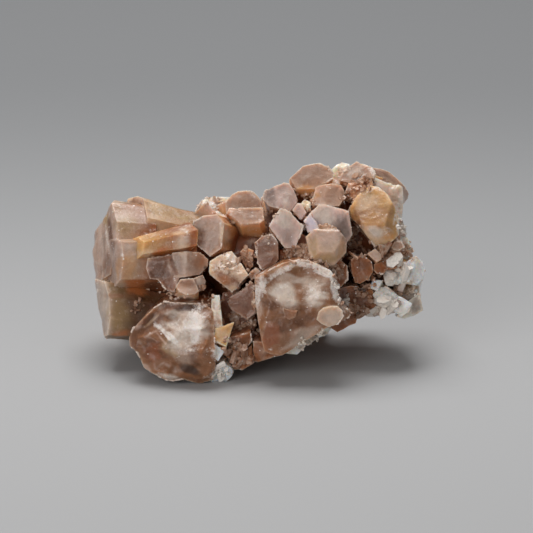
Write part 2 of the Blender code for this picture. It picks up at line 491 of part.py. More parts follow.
def main():
    for old in list(bpy.data.objects):
        bpy.data.objects.remove(old)
    cluster = bpy.data.collections.new("aragonite specimen")
    grown = bpy.data.collections.new("crystals to join")
    for collection in (cluster, grown):
        bpy.context.scene.collection.children.link(collection)
    listed = LEFT_BARREL + HONEY_BAR + UPPER_ENDS + MIDDLE_ENDS + LOWER_ENDS + PALE_CORNER
    listed += BACK_FEET
    shapes = [lump(*item) for item in CORE]
    shapes += [prism(item) for item in listed]
    shapes += [hidden_prism(*item) for item in hidden_crystals()]
    first = object_from(shapes[0], "first_lump", cluster)
    for k, bm in enumerate(shapes[1:]):
        object_from(bm, f"crystal_{k:03d}", grown)
    bm = join(first, grown)
    bpy.data.objects.remove(first)
    set_down(bm)
    finished = object_from(bm, NAME, cluster)
    finished.data.materials.append(stone())
    for item in grown.objects:
        item.hide_render = True
        item.display_type = "WIRE"


main()
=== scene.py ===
"""Dresses the radial aragonite specimen: fine crystals, crevice grains and a studio stage.

Crystals are listed in the view from the front, in millimetres: across to the right, up, and
out towards the viewer. That view looks down on the specimen by VIEW_TILT.
"""
import math
import random

import bpy
import numpy as np
from mathutils import Matrix, Vector


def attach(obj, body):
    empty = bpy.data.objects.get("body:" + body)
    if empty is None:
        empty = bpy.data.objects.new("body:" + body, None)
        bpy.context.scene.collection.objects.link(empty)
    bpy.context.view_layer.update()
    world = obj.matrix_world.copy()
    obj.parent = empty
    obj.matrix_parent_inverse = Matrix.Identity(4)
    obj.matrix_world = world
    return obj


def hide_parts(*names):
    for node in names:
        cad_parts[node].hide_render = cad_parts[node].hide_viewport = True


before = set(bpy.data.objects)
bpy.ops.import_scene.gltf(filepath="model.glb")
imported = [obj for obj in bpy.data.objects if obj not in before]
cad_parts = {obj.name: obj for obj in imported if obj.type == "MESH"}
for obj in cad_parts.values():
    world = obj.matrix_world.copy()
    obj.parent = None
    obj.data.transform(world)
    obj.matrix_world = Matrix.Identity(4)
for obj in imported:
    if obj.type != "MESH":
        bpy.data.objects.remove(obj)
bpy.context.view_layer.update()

bl_info = {
    "name": "Radial aragonite specimen",
    "version": (1, 0, 0),
    "blender": (4, 5, 0),
    "location": "3D View > Sidebar > Aragonite",
    "description": "Fine crystals, grains and stage for a radial aragonite specimen",
    "category": "Object",
}

NODE = "aragonite_cluster"
MM = 0.001
VIEW_TILT = math.radians(17.0)
FLOOR = -19.75                  # height of the floor under the listed crystals, mm
SIDE_TAPER = 0.82               # a crystal's root, as a share of its end
AXIS_UP = math.cos(VIEW_TILT)
AXIS_OUT = math.sin(VIEW_TILT)

# The listed view in the frame: rows are what across, up and out become.
LISTED_BOX_MIDDLE = np.array([-0.557, 1.361, FLOOR])
VIEW_AXES = np.array([
    (1.0, 0.0, 0.0),
    (0.0, AXIS_OUT, AXIS_UP),
    (0.0, -AXIS_UP, AXIS_OUT),
])


def linear(red, green, blue):
    """A colour given by 0 to 255 display values, as linear light."""
    shares = np.array((red, green, blue)) / 255.0
    return np.where(shares <= 0.04045, shares / 12.92, ((shares + 0.055) / 1.055) ** 2.4)


def to_frame(points):
    """Listed millimetres to the frame's metres: turned level and set on the floor."""
    return (points @ VIEW_AXES - LISTED_BOX_MIDDLE) * MM


def to_view(points):
    """The frame's metres back to listed millimetres."""
    return (points / MM + LISTED_BOX_MIDDLE) @ VIEW_AXES.T


# Noise


def lattice(cells, seed):
    """A repeatable random share for each whole-number cell: its coordinates are scrambled."""
    mixed = (cells[..., 0] * 374761393 + cells[..., 1] * 668265263
             + cells[..., 2] * 2147483647 + seed * 1274126177) & 0xFFFFFFFF
    mixed = ((mixed ^ (mixed >> 13)) * 1274126177) & 0xFFFFFFFF
    mixed = ((mixed ^ (mixed >> 16)) * 2246822519) & 0xFFFFFFFF
    return ((mixed ^ (mixed >> 15)) & 0xFFFFFF) / float(0xFFFFFF)


def noise(points, size, seed=0):
    """Smooth noise from -1 to 1: random lattice values blended with an s-curve on each axis."""
    scaled = np.asarray(points, float) / size + 1000.0
    low = np.floor(scaled).astype(np.int64)
    share = scaled - low
    share = share * share * (3.0 - 2.0 * share)
    total = np.zeros(low.shape[:-1])
    for corner in range(8):
        step = np.array((corner & 1, corner >> 1 & 1, corner >> 2 & 1))
        weight = np.prod(np.where(step == 1, share, 1.0 - share), axis=-1)
        total += weight * lattice(low + step, seed)
    return total * 2.0 - 1.0


def layered(points, size, seed=0, octaves=3):
    """Noise added in layers, each half as large and half as strong as the one before."""
    total = 0.0
    strength = 1.0
    for k in range(octaves):
        total = total + strength * noise(points, size / 2 ** k, seed + 17 * k)
        strength *= 0.5
    return total / (2.0 - 2.0 ** (1 - octaves))


def smooth_step(low, high, values):
    """0 below low, 1 above high, and an s-curve between."""
    share = np.clip((values - low) / (high - low), 0.0, 1.0)
    return share * share * (3.0 - 2.0 * share)


def stretched(points, along, factor):
    """Points squeezed along a direction, so that noise on them runs in streaks that way."""
    along = np.asarray(along, float) / np.linalg.norm(along)
    return points - np.outer(points @ along, along) * (1.0 - 1.0 / factor)


# The crystals


class Look:
    """How one kind of crystal is coloured and worn."""

    def __init__(self, end, side, deep, frost=0.0, chip=0.45, relief=0.10, streak=None):
        self.end = linear(*end)
        self.side = linear(*side)
        self.deep = linear(*deep)
        self.frost = frost
        self.chip = chip
        self.relief = relief
        self.streak = streak


LOOKS = {
    "mauve": Look((180, 146, 126), (210, 156, 106), (158, 94, 48)),
    "lilac": Look((200, 174, 166), (208, 162, 124), (146, 96, 60)),
    "dusky": Look((138, 98, 78), (176, 116, 74), (112, 64, 36)),
    "honey": Look((202, 156, 100), (200, 148, 84), (160, 92, 40)),
    "barrel": Look((176, 149, 134), (184, 156, 130), (150, 88, 46), 0.05, 0.5, 0.3, (0, 1, 0)),
    "tawny": Look((148, 102, 70), (150, 98, 62), (104, 58, 32), 0.0, 0.5, 0.14),
    "crust": Look((200, 168, 142), (184, 134, 98), (130, 82, 54), 0.25, 0.9, 0.35),
    "brown": Look((148, 90, 50), (140, 84, 46), (98, 54, 28)),
    "beige": Look((192, 164, 144), (196, 166, 134), (162, 124, 88)),
    "olive": Look((182, 162, 148), (152, 120, 84), (100, 68, 40)),
    "cream": Look((240, 216, 198), (230, 202, 178), (186, 146, 116), 0.35, 0.7, 0.3),
    "white": Look((240, 234, 228), (224, 216, 204), (172, 156, 136), 0.45, 0.9, 0.35),
    "glassy": Look((224, 214, 202), (204, 192, 176), (150, 134, 114), 0.2, 0.6, 0.15),
    "rust": Look((188, 132, 94), (166, 108, 70), (104, 60, 36), 0.1, 0.9, 0.4),
}


def crystal(outline, at, facing, length, axis=None, taper=SIDE_TAPER, side_on=False, also=(),
            look="mauve", **wear):
    """One prism: its end seen as an outline, a point on its end face and the way that faces.

    A side_on crystal points left, and its outline is (up, out). also holds further end faces.
    """
    return dict(outline=outline, faces=[(at, facing)] + list(also), length=length,
                axis=axis or facing, taper=taper, side_on=side_on, look=look, wear=wear)


LEFT_BARREL = [
    crystal([(8.2, 6), (7.6, 8.4), (3, 9.2), (-1, 8), (-4, 3), (-4.4, -2), (0, -6), (8, -4)],
            (-33, 5, 6), (-0.9, 0, 0.45), 17, axis=(-1, 0, 0.02), taper=0.97, side_on=True,
            also=[((-37.6, 3, -3), (-1, -0.15, -0.1))], look="barrel", crag=0.8, rim=0.5),
    crystal([(17, -3), (16.5, 1), (12, 4.6), (8, 5.6), (0, 4), (-3, -5), (-2, -11), (4, -14),
             (12, -13), (16.5, -9)],
            (-33.2, 12, 4), (-0.88, 0.1, 0.45), 9, axis=(-1, 0.06, 0.02), taper=0.96,
            side_on=True, also=[((-38, 4, -6), (-1, -0.02, 0)), ((-35.6, 14, -2), (-0.85, 0.5, 0))],
            look="barrel", crag=0.8, rim=0.5),
    crystal([(18, -4), (17.3, -0.5), (13, 3.9), (6, 4.2), (5, -8), (12, -12), (17.5, -9)],
            (-27.5, 14, 0), (-0.9, 0.2, 0.4), 17, axis=(-0.97, 0.2, 0.1), taper=0.8,
            side_on=True, look="beige", rim=0.2, crag=1.0),
    crystal([(-0.9, 1), (-1.5, 5), (-5, 6.8), (-10, 6.6), (-13.6, 5), (-14.6, 1), (-12, -4),
             (-3, -5)],
            (-34.9, -7, 6), (-0.88, -0.05, 0.46), 14, axis=(-1, 0.12, 0.05), taper=0.85,
            side_on=True, also=[((-37.3, -4, 0), (-1, -0.2, -0.2))], look="olive", crag=0.8),
]

HONEY_BAR = [
    crystal([(8.6, 7.5), (7.4, 10.4), (4.6, 10.9), (3.4, 8.5), (3.8, 4), (7.5, 3)],
            (-27.7, 6.5, 9), (-0.85, 0.15, 0.5), 12, axis=(-1, -0.2, 0.05), taper=1.3,
            side_on=True, look="honey", rim=0.25, crag=0.5),
]

UPPER_ENDS = [
    crystal([(-16.2, 8.2), (-15.4, 12), (-13.3, 13.4), (-10.2, 13.7), (-8.5, 11.6), (-9.2, 6),
             (-11.8, 4.1)], (-12.5, 9, 8.2), (-0.3, 0.1, 0.95), 17, axis=(-0.45, 0.12, 0.9),
            taper=0.9),
    crystal([(-8.4, 16.5), (-6.8, 18.3), (-5.5, 19), (-3.5, 19.2), (-1.5, 18.6), (-0.3, 17),
             (0.4, 14.8), (0.5, 12.5), (-0.5, 11.7), (-4.8, 11.5), (-6.5, 13), (-8.2, 14)],
            (-4, 15.3, 4), (0, 0.3, 0.95), 16, axis=(-0.1, 0.6, 0.8), taper=0.95),
    crystal([(-8.1, 14), (-7.5, 15.2), (0.2, 15.3), (0.5, 12.5), (-0.5, 11.7), (-4.8, 11.5),
             (-6.5, 13)], (-4, 13.5, 5.3), (0, 0.42, 0.9), 15, axis=(-0.1, 0.6, 0.8),
            taper=0.95, rim=0.6),
    crystal([(-15.3, 14.3), (-13.7, 17), (-12.3, 17.9), (-7.5, 17.8), (-7, 12), (-15, 9.5)],
            (-11, 17, -5), (0, 0.5, 0.85), 12, axis=(-0.1, 0.45, 0.8), look="cream"),
    crystal([(0.3, 17), (0.4, 18.6), (0.8, 19.2), (2.5, 20), (4.8, 21), (6.2, 20.8),
             (7.2, 19.3), (8, 17.3), (7.8, 16.2), (6.5, 14.6), (4, 15), (1.5, 15.6)],
            (3.6, 18, 3), (-0.35, 0.3, 0.9), 15, axis=(-0.05, 0.3, 0.92),
            also=[((3.6, 18, 3), (0.15, 0.3, 0.93))], look="lilac"),
    crystal([(6.3, 22), (7.6, 23.2), (9.3, 24.8), (11.5, 25.3), (13.2, 25.5), (15, 24.6),
             (16.2, 23.2), (16.1, 22), (15, 21.2), (13.5, 20.5), (12.3, 19.6), (7.8, 19.5),
             (7, 20.8)], (11.5, 22.5, 0.5), (-0.05, 0.35, 0.93), 14, axis=(0.05, 0.6, 0.8)),
    crystal([(11.6, 15.8), (11.5, 17.3), (12.2, 19.9), (13.5, 20.4), (15.5, 20.8), (18, 20.3),
             (18.7, 19), (18.3, 17), (17.5, 15.6), (15, 15.5), (13, 15.7)],
            (14.4, 18, 4.6), (-0.3, 0.25, 0.9), 14, axis=(0.05, 0.2, 0.95),
            also=[((14.4, 18, 4.6), (0.12, 0.25, 0.95))]),
    crystal([(8, 16.3), (8.8, 16.2), (10, 14.2), (9, 12.6), (8.5, 12.5), (7, 14.3),
             (6.8, 14.7)], (8.4, 14.5, 5.5), (-0.2, 0.2, 0.95), 10, look="lilac"),
    crystal([(8.8, 16.2), (9.2, 16.8), (10.2, 16.9), (11, 16.5), (11, 15), (10.3, 14.5),
             (9.5, 15)], (10, 15.8, 4.6), (0.1, 0.3, 0.95), 8, look="cream"),
    crystal([(17.5, 21.5), (18, 23), (20.2, 25), (21.5, 25.9), (23, 25.3), (25, 24.5),
             (25.8, 23.5), (25.5, 22), (23, 21.8), (20.3, 20.8)],
            (21.5, 23, -1), (-0.25, 0.4, 0.87), 12, axis=(0, 0.35, 0.93)),
    crystal([(18.5, 18), (19.5, 20.8), (24.8, 22), (25.6, 20), (22, 17)],
            (22, 20.3, 0.8), (0, 0.4, 0.9), 10, look="rust"),
    crystal([(15.2, 20), (15.9, 24.2), (17, 25.2), (18.5, 25.7), (20, 25.3), (21, 20)],
            (18, 24, -6), (0, 0.4, 0.9), 8, look="cream"),
    crystal([(24.5, 24.7), (27, 24.4), (29, 23.6), (31, 22), (32.3, 20.7), (33.2, 19.8),
             (33.7, 18.6), (33.4, 17.4), (32.2, 16), (28, 15), (24, 19)],
            (29.5, 21, -7), (0.4, 0.45, 0.8), 11, axis=(0.3, 0.3, 0.9),
            also=[((33, 18, -9.5), (0.95, 0.2, 0.3))]),
    crystal([(25.6, 22.2), (28.3, 21), (31, 20.7), (32, 20), (32.2, 18), (32.1, 15),
             (31.9, 13), (31, 10), (27, 10), (25, 18)],
            (30, 18, -1.5), (0.3, 0.15, 0.94), 10, axis=(0.15, 0.15, 1), look="cream"),
    crystal([(20.1, 13), (19.7, 15), (21.5, 18), (24.5, 20.3), (26.5, 19.9), (28.5, 18.2),
             (30, 15.5), (31, 12.5), (31, 9), (29.5, 7.6), (28.5, 6.9), (25.5, 6.5),
             (23, 9.7), (21.5, 11.5)],
            (25.5, 14.5, 6), (-0.1, 0.45, 0.88), 14, axis=(0.03, 0.12, 1),
            also=[((26.3, 11.3, 8), (-0.05, -0.45, 0.88)), ((21.5, 12.5, 6), (-0.75, 0.1, 0.65)),
                  ((30, 13, 5.3), (0.7, 0.1, 0.7))], look="honey", crag=0.25, facets=0.5),
]

MIDDLE_ENDS = [
    crystal([(3.9, 14.8), (5.2, 14.9), (6.2, 14.3), (9.2, 11), (8.9, 9.8), (7.6, 6.1),
             (5.2, 6), (3.8, 7.6), (1.5, 11), (2.2, 12.3)],
            (5.3, 10.5, 10.8), (-0.03, 0.02, 1), 16, axis=(0, 0.1, 1), look="lilac"),
    crystal([(-1.8, 7.2), (0, 8.8), (2.2, 9.1), (3.6, 7.5), (3.7, 3.5), (2.5, 1.8),
             (0, 1.1), (-1, 2.7), (-1.3, 4.8)],
            (1.2, 5.5, 10.6), (-0.12, 0.15, 0.97), 15, look="dusky"),
    crystal([(10.5, 12.5), (11, 14), (12.8, 15.9), (14, 16), (16.5, 15.3), (19.6, 14.5),
             (20.4, 9), (19.2, 7.3), (15, 6.5), (11, 8.5)],
            (14.5, 13, 9), (-0.03, 0.12, 0.98), 16, axis=(0.05, 0.1, 1), taper=0.9,
            also=[((16.7, 10.3, 9.4), (0.33, -0.13, 0.93))], look="lilac"),
    crystal([(9.3, 12.2), (10.9, 14), (11.3, 13), (12.2, 12), (12.9, 10.2), (10.3, 9.5),
             (9.8, 10.7)], (11, 11.8, 9.8), (-0.25, 0.05, 0.96), 12, look="lilac"),
    crystal([(9.8, 8.6), (11.7, 10.4), (16.8, 10.6), (19.1, 7.9), (19, 5), (16.2, 2.1),
             (13, 2.2), (10.7, 4.2)],
            (14.5, 7.5, 13.2), (-0.04, 0.2, 0.97), 16, axis=(0.04, 0.06, 1), taper=0.95,
            also=[((12.3, 6.8, 13.1), (-0.72, 0.05, 0.7)), ((14.5, 5, 13.6), (-0.05, -0.62, 0.78)),
                  ((17, 6, 13.3), (0.7, -0.3, 0.65)), ((14.6, 10, 12.7), (0, 0.8, 0.6))],
            look="beige"),
    crystal([(20, 3.5), (21, 4.2), (23.2, 4.3), (24.8, 3), (25.2, 0.7), (24, -1),
             (22.2, -2), (21, -1.8), (20.2, 0.5)],
            (22.6, 1.3, 7.6), (0.05, -0.08, 1), 12, look="brown"),
    crystal([(23.8, 4.8), (25.5, 6), (26.8, 4.8), (27, 3.6), (25.8, 2.9), (24.8, 3.8)],
            (25.4, 4.5, 7.4), (0, 0.3, 0.95), 8),
    crystal([(25.3, 2.5), (27, 3), (28.5, 1.5), (27.5, 0.2), (26, 0.2), (25.2, 1)],
            (26.8, 1.6, 6.6), (0.25, 0.1, 0.95), 8, look="brown"),
    crystal([(26.3, 7), (27.2, 6.9), (28.5, 6.2), (28, 5.2), (26.6, 5.6)],
            (27.3, 6.1, 6.8), (0.1, 0.2, 0.95), 7),
    crystal([(29.2, 6.4), (30, 7.6), (31.5, 7.6), (32.2, 6.3), (31, 5.4), (29.8, 5.7)],
            (30.8, 6.5, 5), (0.3, 0.2, 0.9), 8),
    crystal([(26.5, 5.3), (29.5, 6), (31.5, 4.6), (30.5, 1.5), (27.5, 1)],
            (29, 3.8, 5.2), (0.2, 0.2, 0.95), 8, look="brown"),
    crystal([(30, 13), (31.9, 12.8), (32.3, 9.5), (33.3, 8), (34, 6), (33, 3.5), (30, 4),
             (29, 9)], (31.8, 8, 0.5), (0.35, 0.1, 0.93), 9, axis=(0.15, 0, 1), look="cream"),
    crystal([(16, 3), (17.5, 3.6), (19.3, 2), (19.3, -1), (17.8, -2.8), (16.5, -1.5),
             (16, 0)], (17.6, 0.8, 9.8), (0.2, 0, 0.97), 11, look="brown"),
    crystal([(3.8, 5.8), (6.9, 6), (8, 5.5), (9.5, 4), (5.5, 2.8), (4, 2.4)],
            (6.5, 4.5, 9), (0, 0.4, 0.9), 8, look="rust"),
    crystal([(8, 8), (9, 9.3), (10.2, 8.5), (10.8, 4), (8.2, 3.5)],
            (9.4, 7, 8.6), (0.1, 0.15, 0.95), 10, look="brown"),
    crystal([(-3.3, 0), (-1.5, 1.7), (-0.3, 0.9), (-0.6, -0.5), (-2.3, -0.9)],
            (-1.7, 0.4, 11), (-0.1, 0.2, 0.95), 8),
    crystal([(-4.9, 5.3), (-3.9, 6.4), (-1.9, 5.6), (-2, 2), (-3.2, 0.8), (-4.2, 2.6)],
            (-3.2, 3.8, 8.6), (0, 0.2, 0.97), 8, look="rust"),
    crystal([(-26.2, 1.5), (-25.8, 3.8), (-20.2, 4.6), (-18.5, -0.5), (-19.8, -3.9),
             (-21.2, -3.8), (-23.6, -1.1), (-25.3, -0.9)],
            (-22, 1.2, 10.2), (-0.12, 0.02, 0.99), 14, axis=(-0.15, 0, 1), look="dusky"),
    crystal([(-20.3, 5), (-17, 5.4), (-14, 5.1), (-12.1, 3.5), (-12.2, 2), (-14, 0),
             (-17.8, -0.6), (-20, -0.6)],
            (-17.1, 3, 11.2), (-0.3, 0.08, 0.95), 14, axis=(0, 0.05, 1),
            also=[((-17.1, 3, 11.2), (0.33, 0.06, 0.94))]),
    crystal([(-19.4, -2.5), (-18.4, -0.9), (-15.5, -0.7), (-14.8, -2), (-14.2, -3.5),
             (-15, -4.2), (-17, -4.5), (-18.8, -3.7)],
            (-16.8, -2.6, 12.9), (-0.04, 0.3, 0.95), 11, axis=(0, 0.5, 0.87), taper=1.0),
    crystal([(-15.4, -0.8), (-13.3, 0.1), (-12.6, -1.5), (-13.2, -3.2), (-14.6, -4)],
            (-14, -1.8, 12.2), (0.3, 0.15, 0.94), 9, look="dusky"),
    crystal([(-12, 0.8), (-11.8, 3.1), (-8.8, 5), (-6.8, 5.4), (-5, 3.2), (-3, 0),
             (-4.2, -1.2), (-5.3, -3), (-6.9, -3.8), (-11.8, 0.1)],
            (-7.5, 1.2, 12.6), (-0.05, 0.45, 0.9), 14, axis=(-0.05, 0.1, 1),
            also=[((-8, 0.4, 12.8), (-0.12, -0.38, 0.9))], look="crust", crag=0.8),
    crystal([(-7.8, -6.3), (-7.3, -5), (-5.5, -4), (-4, -3.2), (-2.5, -1.5), (-1.9, -3),
             (-1.4, -8.5), (-3.4, -10.1), (-7, -7.8)],
            (-4.2, -6, 11.2), (-0.12, -0.12, 0.98), 14, axis=(-0.05, 0, 1), look="dusky"),
]

LOWER_ENDS = [
    crystal([(-1.7, -0.8), (2, 1.3), (4.5, 2.7), (8, 3.5), (10.5, 3.2), (13, 2.2),
             (15.5, 1), (16.5, -0.7), (16.9, -2.8), (17.2, -5), (18, -6.8), (20, -8.5),
             (19.5, -9.5), (14.5, -12), (12, -13.5), (9, -15.3), (4.5, -18.1), (2, -17.8),
             (0.5, -17.2), (-0.3, -14), (-1, -10), (-1.5, -6)],
            (7.5, -5.8, 17.6), (0.03, 0.26, 0.96), 22, axis=(0.05, -0.25, 1), taper=0.8,
            also=[((7.5, -5.8, 17.6), (0.05, -0.24, 0.97)),
                  ((1.3, -8, 17.3), (-0.6, -0.05, 0.8)), ((15.8, -4, 16.6), (0.55, 0.1, 0.82))],
            look="tawny", crag=0.9, rim=1.3),
    crystal([(12.2, -10), (12.7, -8.3), (13.8, -7.3), (15.5, -7), (17, -7), (18.1, -8),
             (18.2, -9.3), (17, -11), (15, -11.7), (13.3, -11)],
            (15.3, -9.3, 18.1), (0.15, -0.1, 0.98), 6, look="beige"),
    crystal([(4.6, -7.5), (8, -8), (7.5, -9.5), (6, -10.2), (5, -9.5)],
            (6.4, -8.8, 17.6), (-0.1, -0.3, 0.95), 5, look="brown"),
    crystal([(17.3, -3), (20, -2.4), (25, -2.8), (26.2, -8.5), (23.5, -9), (21.8, -9.2),
             (21.2, -11), (19.8, -11.5), (18.5, -12.3), (17, -13), (14, -11)],
            (20.5, -7, 5.5), (0.15, -0.3, 0.94), 14, axis=(0.2, -0.15, 1), look="brown",
            relief=0.5, grain=3.0, chip=1.2),
    crystal([(4.5, -17.6), (8, -18), (9.6, -16), (8, -14), (5, -15)],
            (7, -16.3, 12.5), (0.1, -0.3, 0.95), 8, look="glassy"),
    crystal([(8.5, -16.2), (11, -15.5), (12.6, -14), (10, -12.8)],
            (10.5, -14.8, 11.6), (0.15, -0.3, 0.94), 8, look="cream"),
    crystal([(12, -14.5), (14.5, -13.5), (15.8, -12), (13, -11.5)],
            (14, -13, 11), (0.2, -0.3, 0.93), 8, look="glassy"),
    crystal([(-2, -19.5), (-1, -19.7), (2, -18.8), (4.5, -18.1), (3.5, -15), (-2, -15)],
            (1, -17.8, 11), (0, -0.4, 0.92), 12, axis=(0, -0.4, 1), look="brown"),
    crystal([(-29, -12), (-24.5, -7.5), (-22, -6), (-13, -6.5), (-10.9, -8), (-10.6, -14.5),
             (-10.2, -19), (-11, -23.6), (-14, -24.6), (-16, -24), (-18, -23.4), (-20, -23.8),
             (-22, -23.5), (-25, -22), (-26.8, -20.8), (-27.3, -19), (-28, -17.5),
             (-29.8, -16), (-30, -14.2)],
            (-20, -12, 15.4), (-0.05, 0.33, 0.94), 24, axis=(-0.15, -0.4, 1), taper=0.78,
            also=[((-25.5, -14.3, 15.8), (-0.45, -0.33, 0.83)), ((-16, -18.5, 17), (0.1, -0.6, 0.8)),
                  ((-27.5, -14.5, 14.4), (-0.8, 0.1, 0.6))], look="tawny",
            facets=1.8, crag=2.4, relief=0.16, rim=1.3),
    crystal([(-11.3, -4.5), (-9.5, -4.5), (-9, -9.3), (-8.8, -11.8), (-10.9, -12),
             (-11.5, -9.3)], (-10.2, -9, 14.6), (0, 0.15, 0.98), 12, look="cream"),
    crystal([(-10.6, -12), (-6.2, -10.5), (-8, -16.2), (-10.8, -14.8)],
            (-9, -13, 15.4), (0.15, 0.2, 0.96), 12, look="honey"),
    crystal([(-11.4, -15.2), (-8.1, -16.8), (-9.8, -19.3), (-12, -17.6)],
            (-10.2, -17.2, 16.2), (0.15, 0, 0.98), 9, look="white"),
    crystal([(-12.6, -23), (-11.5, -21.2), (-9, -19.7), (-6.8, -21), (-6.3, -22.5),
             (-8, -24), (-11, -24.5)], (-9.5, -22, 12.7), (0.1, -0.6, 0.8), 14,
            axis=(0, -0.45, 1), taper=0.9, look="white"),
    crystal([(-8.2, -18.3), (-7.2, -14), (-5, -13.5), (-2.5, -12.7), (-2.3, -15),
             (-5.3, -18.6), (-7, -19.2)], (-5.5, -15.8, 12.6), (0.15, -0.05, 0.98), 12, axis=(0.1, -0.3, 1),
            look="brown", relief=0.4, grain=2.2, chip=1.0),
    crystal([(-7, -18.9), (-5.3, -18.2), (-2.3, -15.8), (-2, -20), (-4.5, -21.5),
             (-6.6, -21.3)], (-4.3, -19, 11.4), (0.2, -0.2, 0.95), 12, axis=(0.1, -0.4, 1),
            look="brown", relief=0.4, grain=2.2, chip=1.0),
    crystal([(-9, -4), (-6.5, -3.5), (-1.5, -9.5), (-2, -15), (-7, -16), (-10.5, -10)],
            (-6, -9, 7), (0, 0, 1), 10, look="brown"),
]

PALE_CORNER = [
    crystal([(24.2, -2.9), (25.2, -0.7), (27.2, -1.3), (26, -3.6)],
            (25.7, -2, 6), (-0.2, 0.3, 0.93), 7, look="white"),
    crystal([(27.5, 0.5), (29, 2), (30.5, 3), (32.5, 3), (34.5, 4), (36.5, 3), (37, 1),
             (36.5, -1), (35, -2.4), (32, -2), (28.5, -2)],
            (31.5, 1, 3.6), (0.05, 0.35, 0.93), 11, axis=(0.15, 0.05, 1),
            also=[((34.5, 1.5, 3), (0.65, 0.1, 0.75))], look="white"),
    crystal([(25, -4.5), (26.5, -2.7), (28, -2.7), (31, -4.6), (34, -6.5), (33, -8.5),
             (31.5, -9.5), (29.8, -8.3), (26, -6.5)],
            (29, -5.6, 6.4), (0.15, 0.42, 0.9), 9, axis=(0.05, 0, 1),
            also=[((29, -5.8, 6.4), (-0.05, -0.3, 0.95))], look="white"),
    crystal([(33, -6), (35.7, -4), (36.6, -8), (34.5, -9.3), (32, -10), (30.5, -9.5)],
            (34, -7.5, 3), (0.35, 0, 0.93), 9, axis=(0.1, 0, 1), look="glassy"),
    crystal([(26, -7.5), (26.2, -8.8), (27.2, -9.4), (28, -8.8), (27.8, -7)],
            (27, -8.2, 5), (0, -0.1, 1), 6, look="glassy"),
    crystal([(34.2, 4), (35, 4.3), (36.3, 3.2), (37, 1), (36.3, -1.5), (35.8, -4),
             (34.5, -4), (33.5, 0)], (35.5, 0, 1.5), (0.6, 0, 0.8), 9, axis=(0.1, 0, 1),
            look="white"),
    crystal([(30, -4.6), (30.5, -1.5), (35.4, -1.5), (35.8, -5), (34, -7)],
            (33, -3.5, 1.8), (0.1, 0.1, 0.98), 8, look="olive"),
]

# Feet at the back and crystals of the top that faces away from the front.
BACK_FEET = [
    crystal([(9, -10), (12, -8.5), (15.5, -10), (15, -13.1), (12.6, -14.2), (9.5, -15.2)],
            (12.3, -12.5, -22), (0.1, -0.35, -0.93), 20, taper=1.1),
    crystal([(-25, -12), (-21, -9.5), (-16.5, -11), (-16, -14.6), (-19.5, -16.2), (-24, -15)],
            (-20.5, -13.5, -18), (-0.2, -0.5, -0.85), 18, taper=1.2, look="brown"),
    crystal([(-7, -12), (-3, -10), (1.5, -12), (1.5, -15), (-3, -16.6), (-7, -15)],
            (-3, -14, -14), (0, -0.5, -0.85), 14, taper=1.2, look="brown"),
]

GROUPS = {
    "left_crystals": (LEFT_BARREL + HONEY_BAR, 0.36),
    "upper_crystals": (UPPER_ENDS, 0.30),
    "middle_crystals": (MIDDLE_ENDS, 0.26),
    "lower_crystals": (LOWER_ENDS, 0.32),
    "pale_crystals": (PALE_CORNER, 0.26),
}


# How fine and how worn the crystals' surfaces are, sizes in mm
END_SHARPNESS = 12.0            # how sharply the end faces meet, 1/mm
SIDE_ROWS_LEAST, END_ROWS_LEAST = 8, 4
SIDE_ROW_SPACING = 2.2          # between rows of a side, as a multiple of that along the rim
ROWS_CROWD = 1.6                # how much closer they stand near the rim
LINE_SIZE, LINE_RUN, LINE_HIGH = 0.8, 14.0, 0.09   # growth lines along the sides
BULGE_SIZE, BULGE_HIGH = 6.0, 0.16
SWELL_SIZE, SWELL_HIGH = 2.2, 0.05
CRAG_SIZE, CRAG_TOP = 5.0, 0.3  # crags of broken crystals
SIDE_CRAG = 0.5                 # their height on the sides, as a share of that on the end
STREAK_RUN = 7.0                # how drawn out the streaks of an end are
END_GRAIN, END_ROUGHNESS = 1.3, 1.6
FACET_TILT = 0.13
FACETS_LEAST, FACETS_PER_MM = 3, 0.5
CHIP_SIZE, CHIP_LEAST = 1.5, 0.05
RIM_WIDE = 0.26                 # width of the pale line along a rim: chips with a painted highlight
SHADE_VARIES = 0.13             # how much lighter or darker a crystal is than its look


def unit(vector):
    """A vector of length one."""
    vector = np.asarray(vector, float)
    return vector / np.linalg.norm(vector)


def unit_rows(vectors):
    """Vectors of length one, one to a row."""
    return vectors / np.linalg.norm(vectors, axis=1, keepdims=True)


def on_faces(item, flat):
    """Places flat outline points on the crystal's end: the lowest of its end faces, softened."""
    if "base" in item:
        at, side, other = item["base"]
        return at + flat[..., :1] * side + flat[..., 1:] * other
    levels = []
    for at, facing in item["faces"]:
        if item["side_on"]:
            off = flat - np.array(at[1:])
            levels.append(-at[0] - (off @ np.array(facing[1:])) / -facing[0])
        else:
            off = flat - np.array(at[:2])
            levels.append(at[2] - (off @ np.array(facing[:2])) / facing[2])
    levels = np.array(levels)
    sign = -1.0 if item["side_on"] or item["axis"][2] > 0 else 1.0
    powers = np.exp(END_SHARPNESS * sign * (levels - levels[0]))
    level = sign * np.log(np.sum(powers, axis=0)) / END_SHARPNESS + levels[0]
    if item["side_on"]:
        return np.stack((-level, flat[..., 0], flat[..., 1]), axis=-1)
    return np.stack((flat[..., 0], flat[..., 1], level), axis=-1)


def walk_round(corners, spacing):
    """Points round a closed outline: each edge in equal steps, so that corners stay points."""
    points = []
    for start, end in zip(corners, np.roll(corners, -1, axis=0)):
        steps = max(1, int(math.ceil(np.linalg.norm(end - start) / spacing)))
        shares = np.arange(steps)[:, None] / steps
        points.append(start + (end - start) * shares)
    return np.concatenate(points)


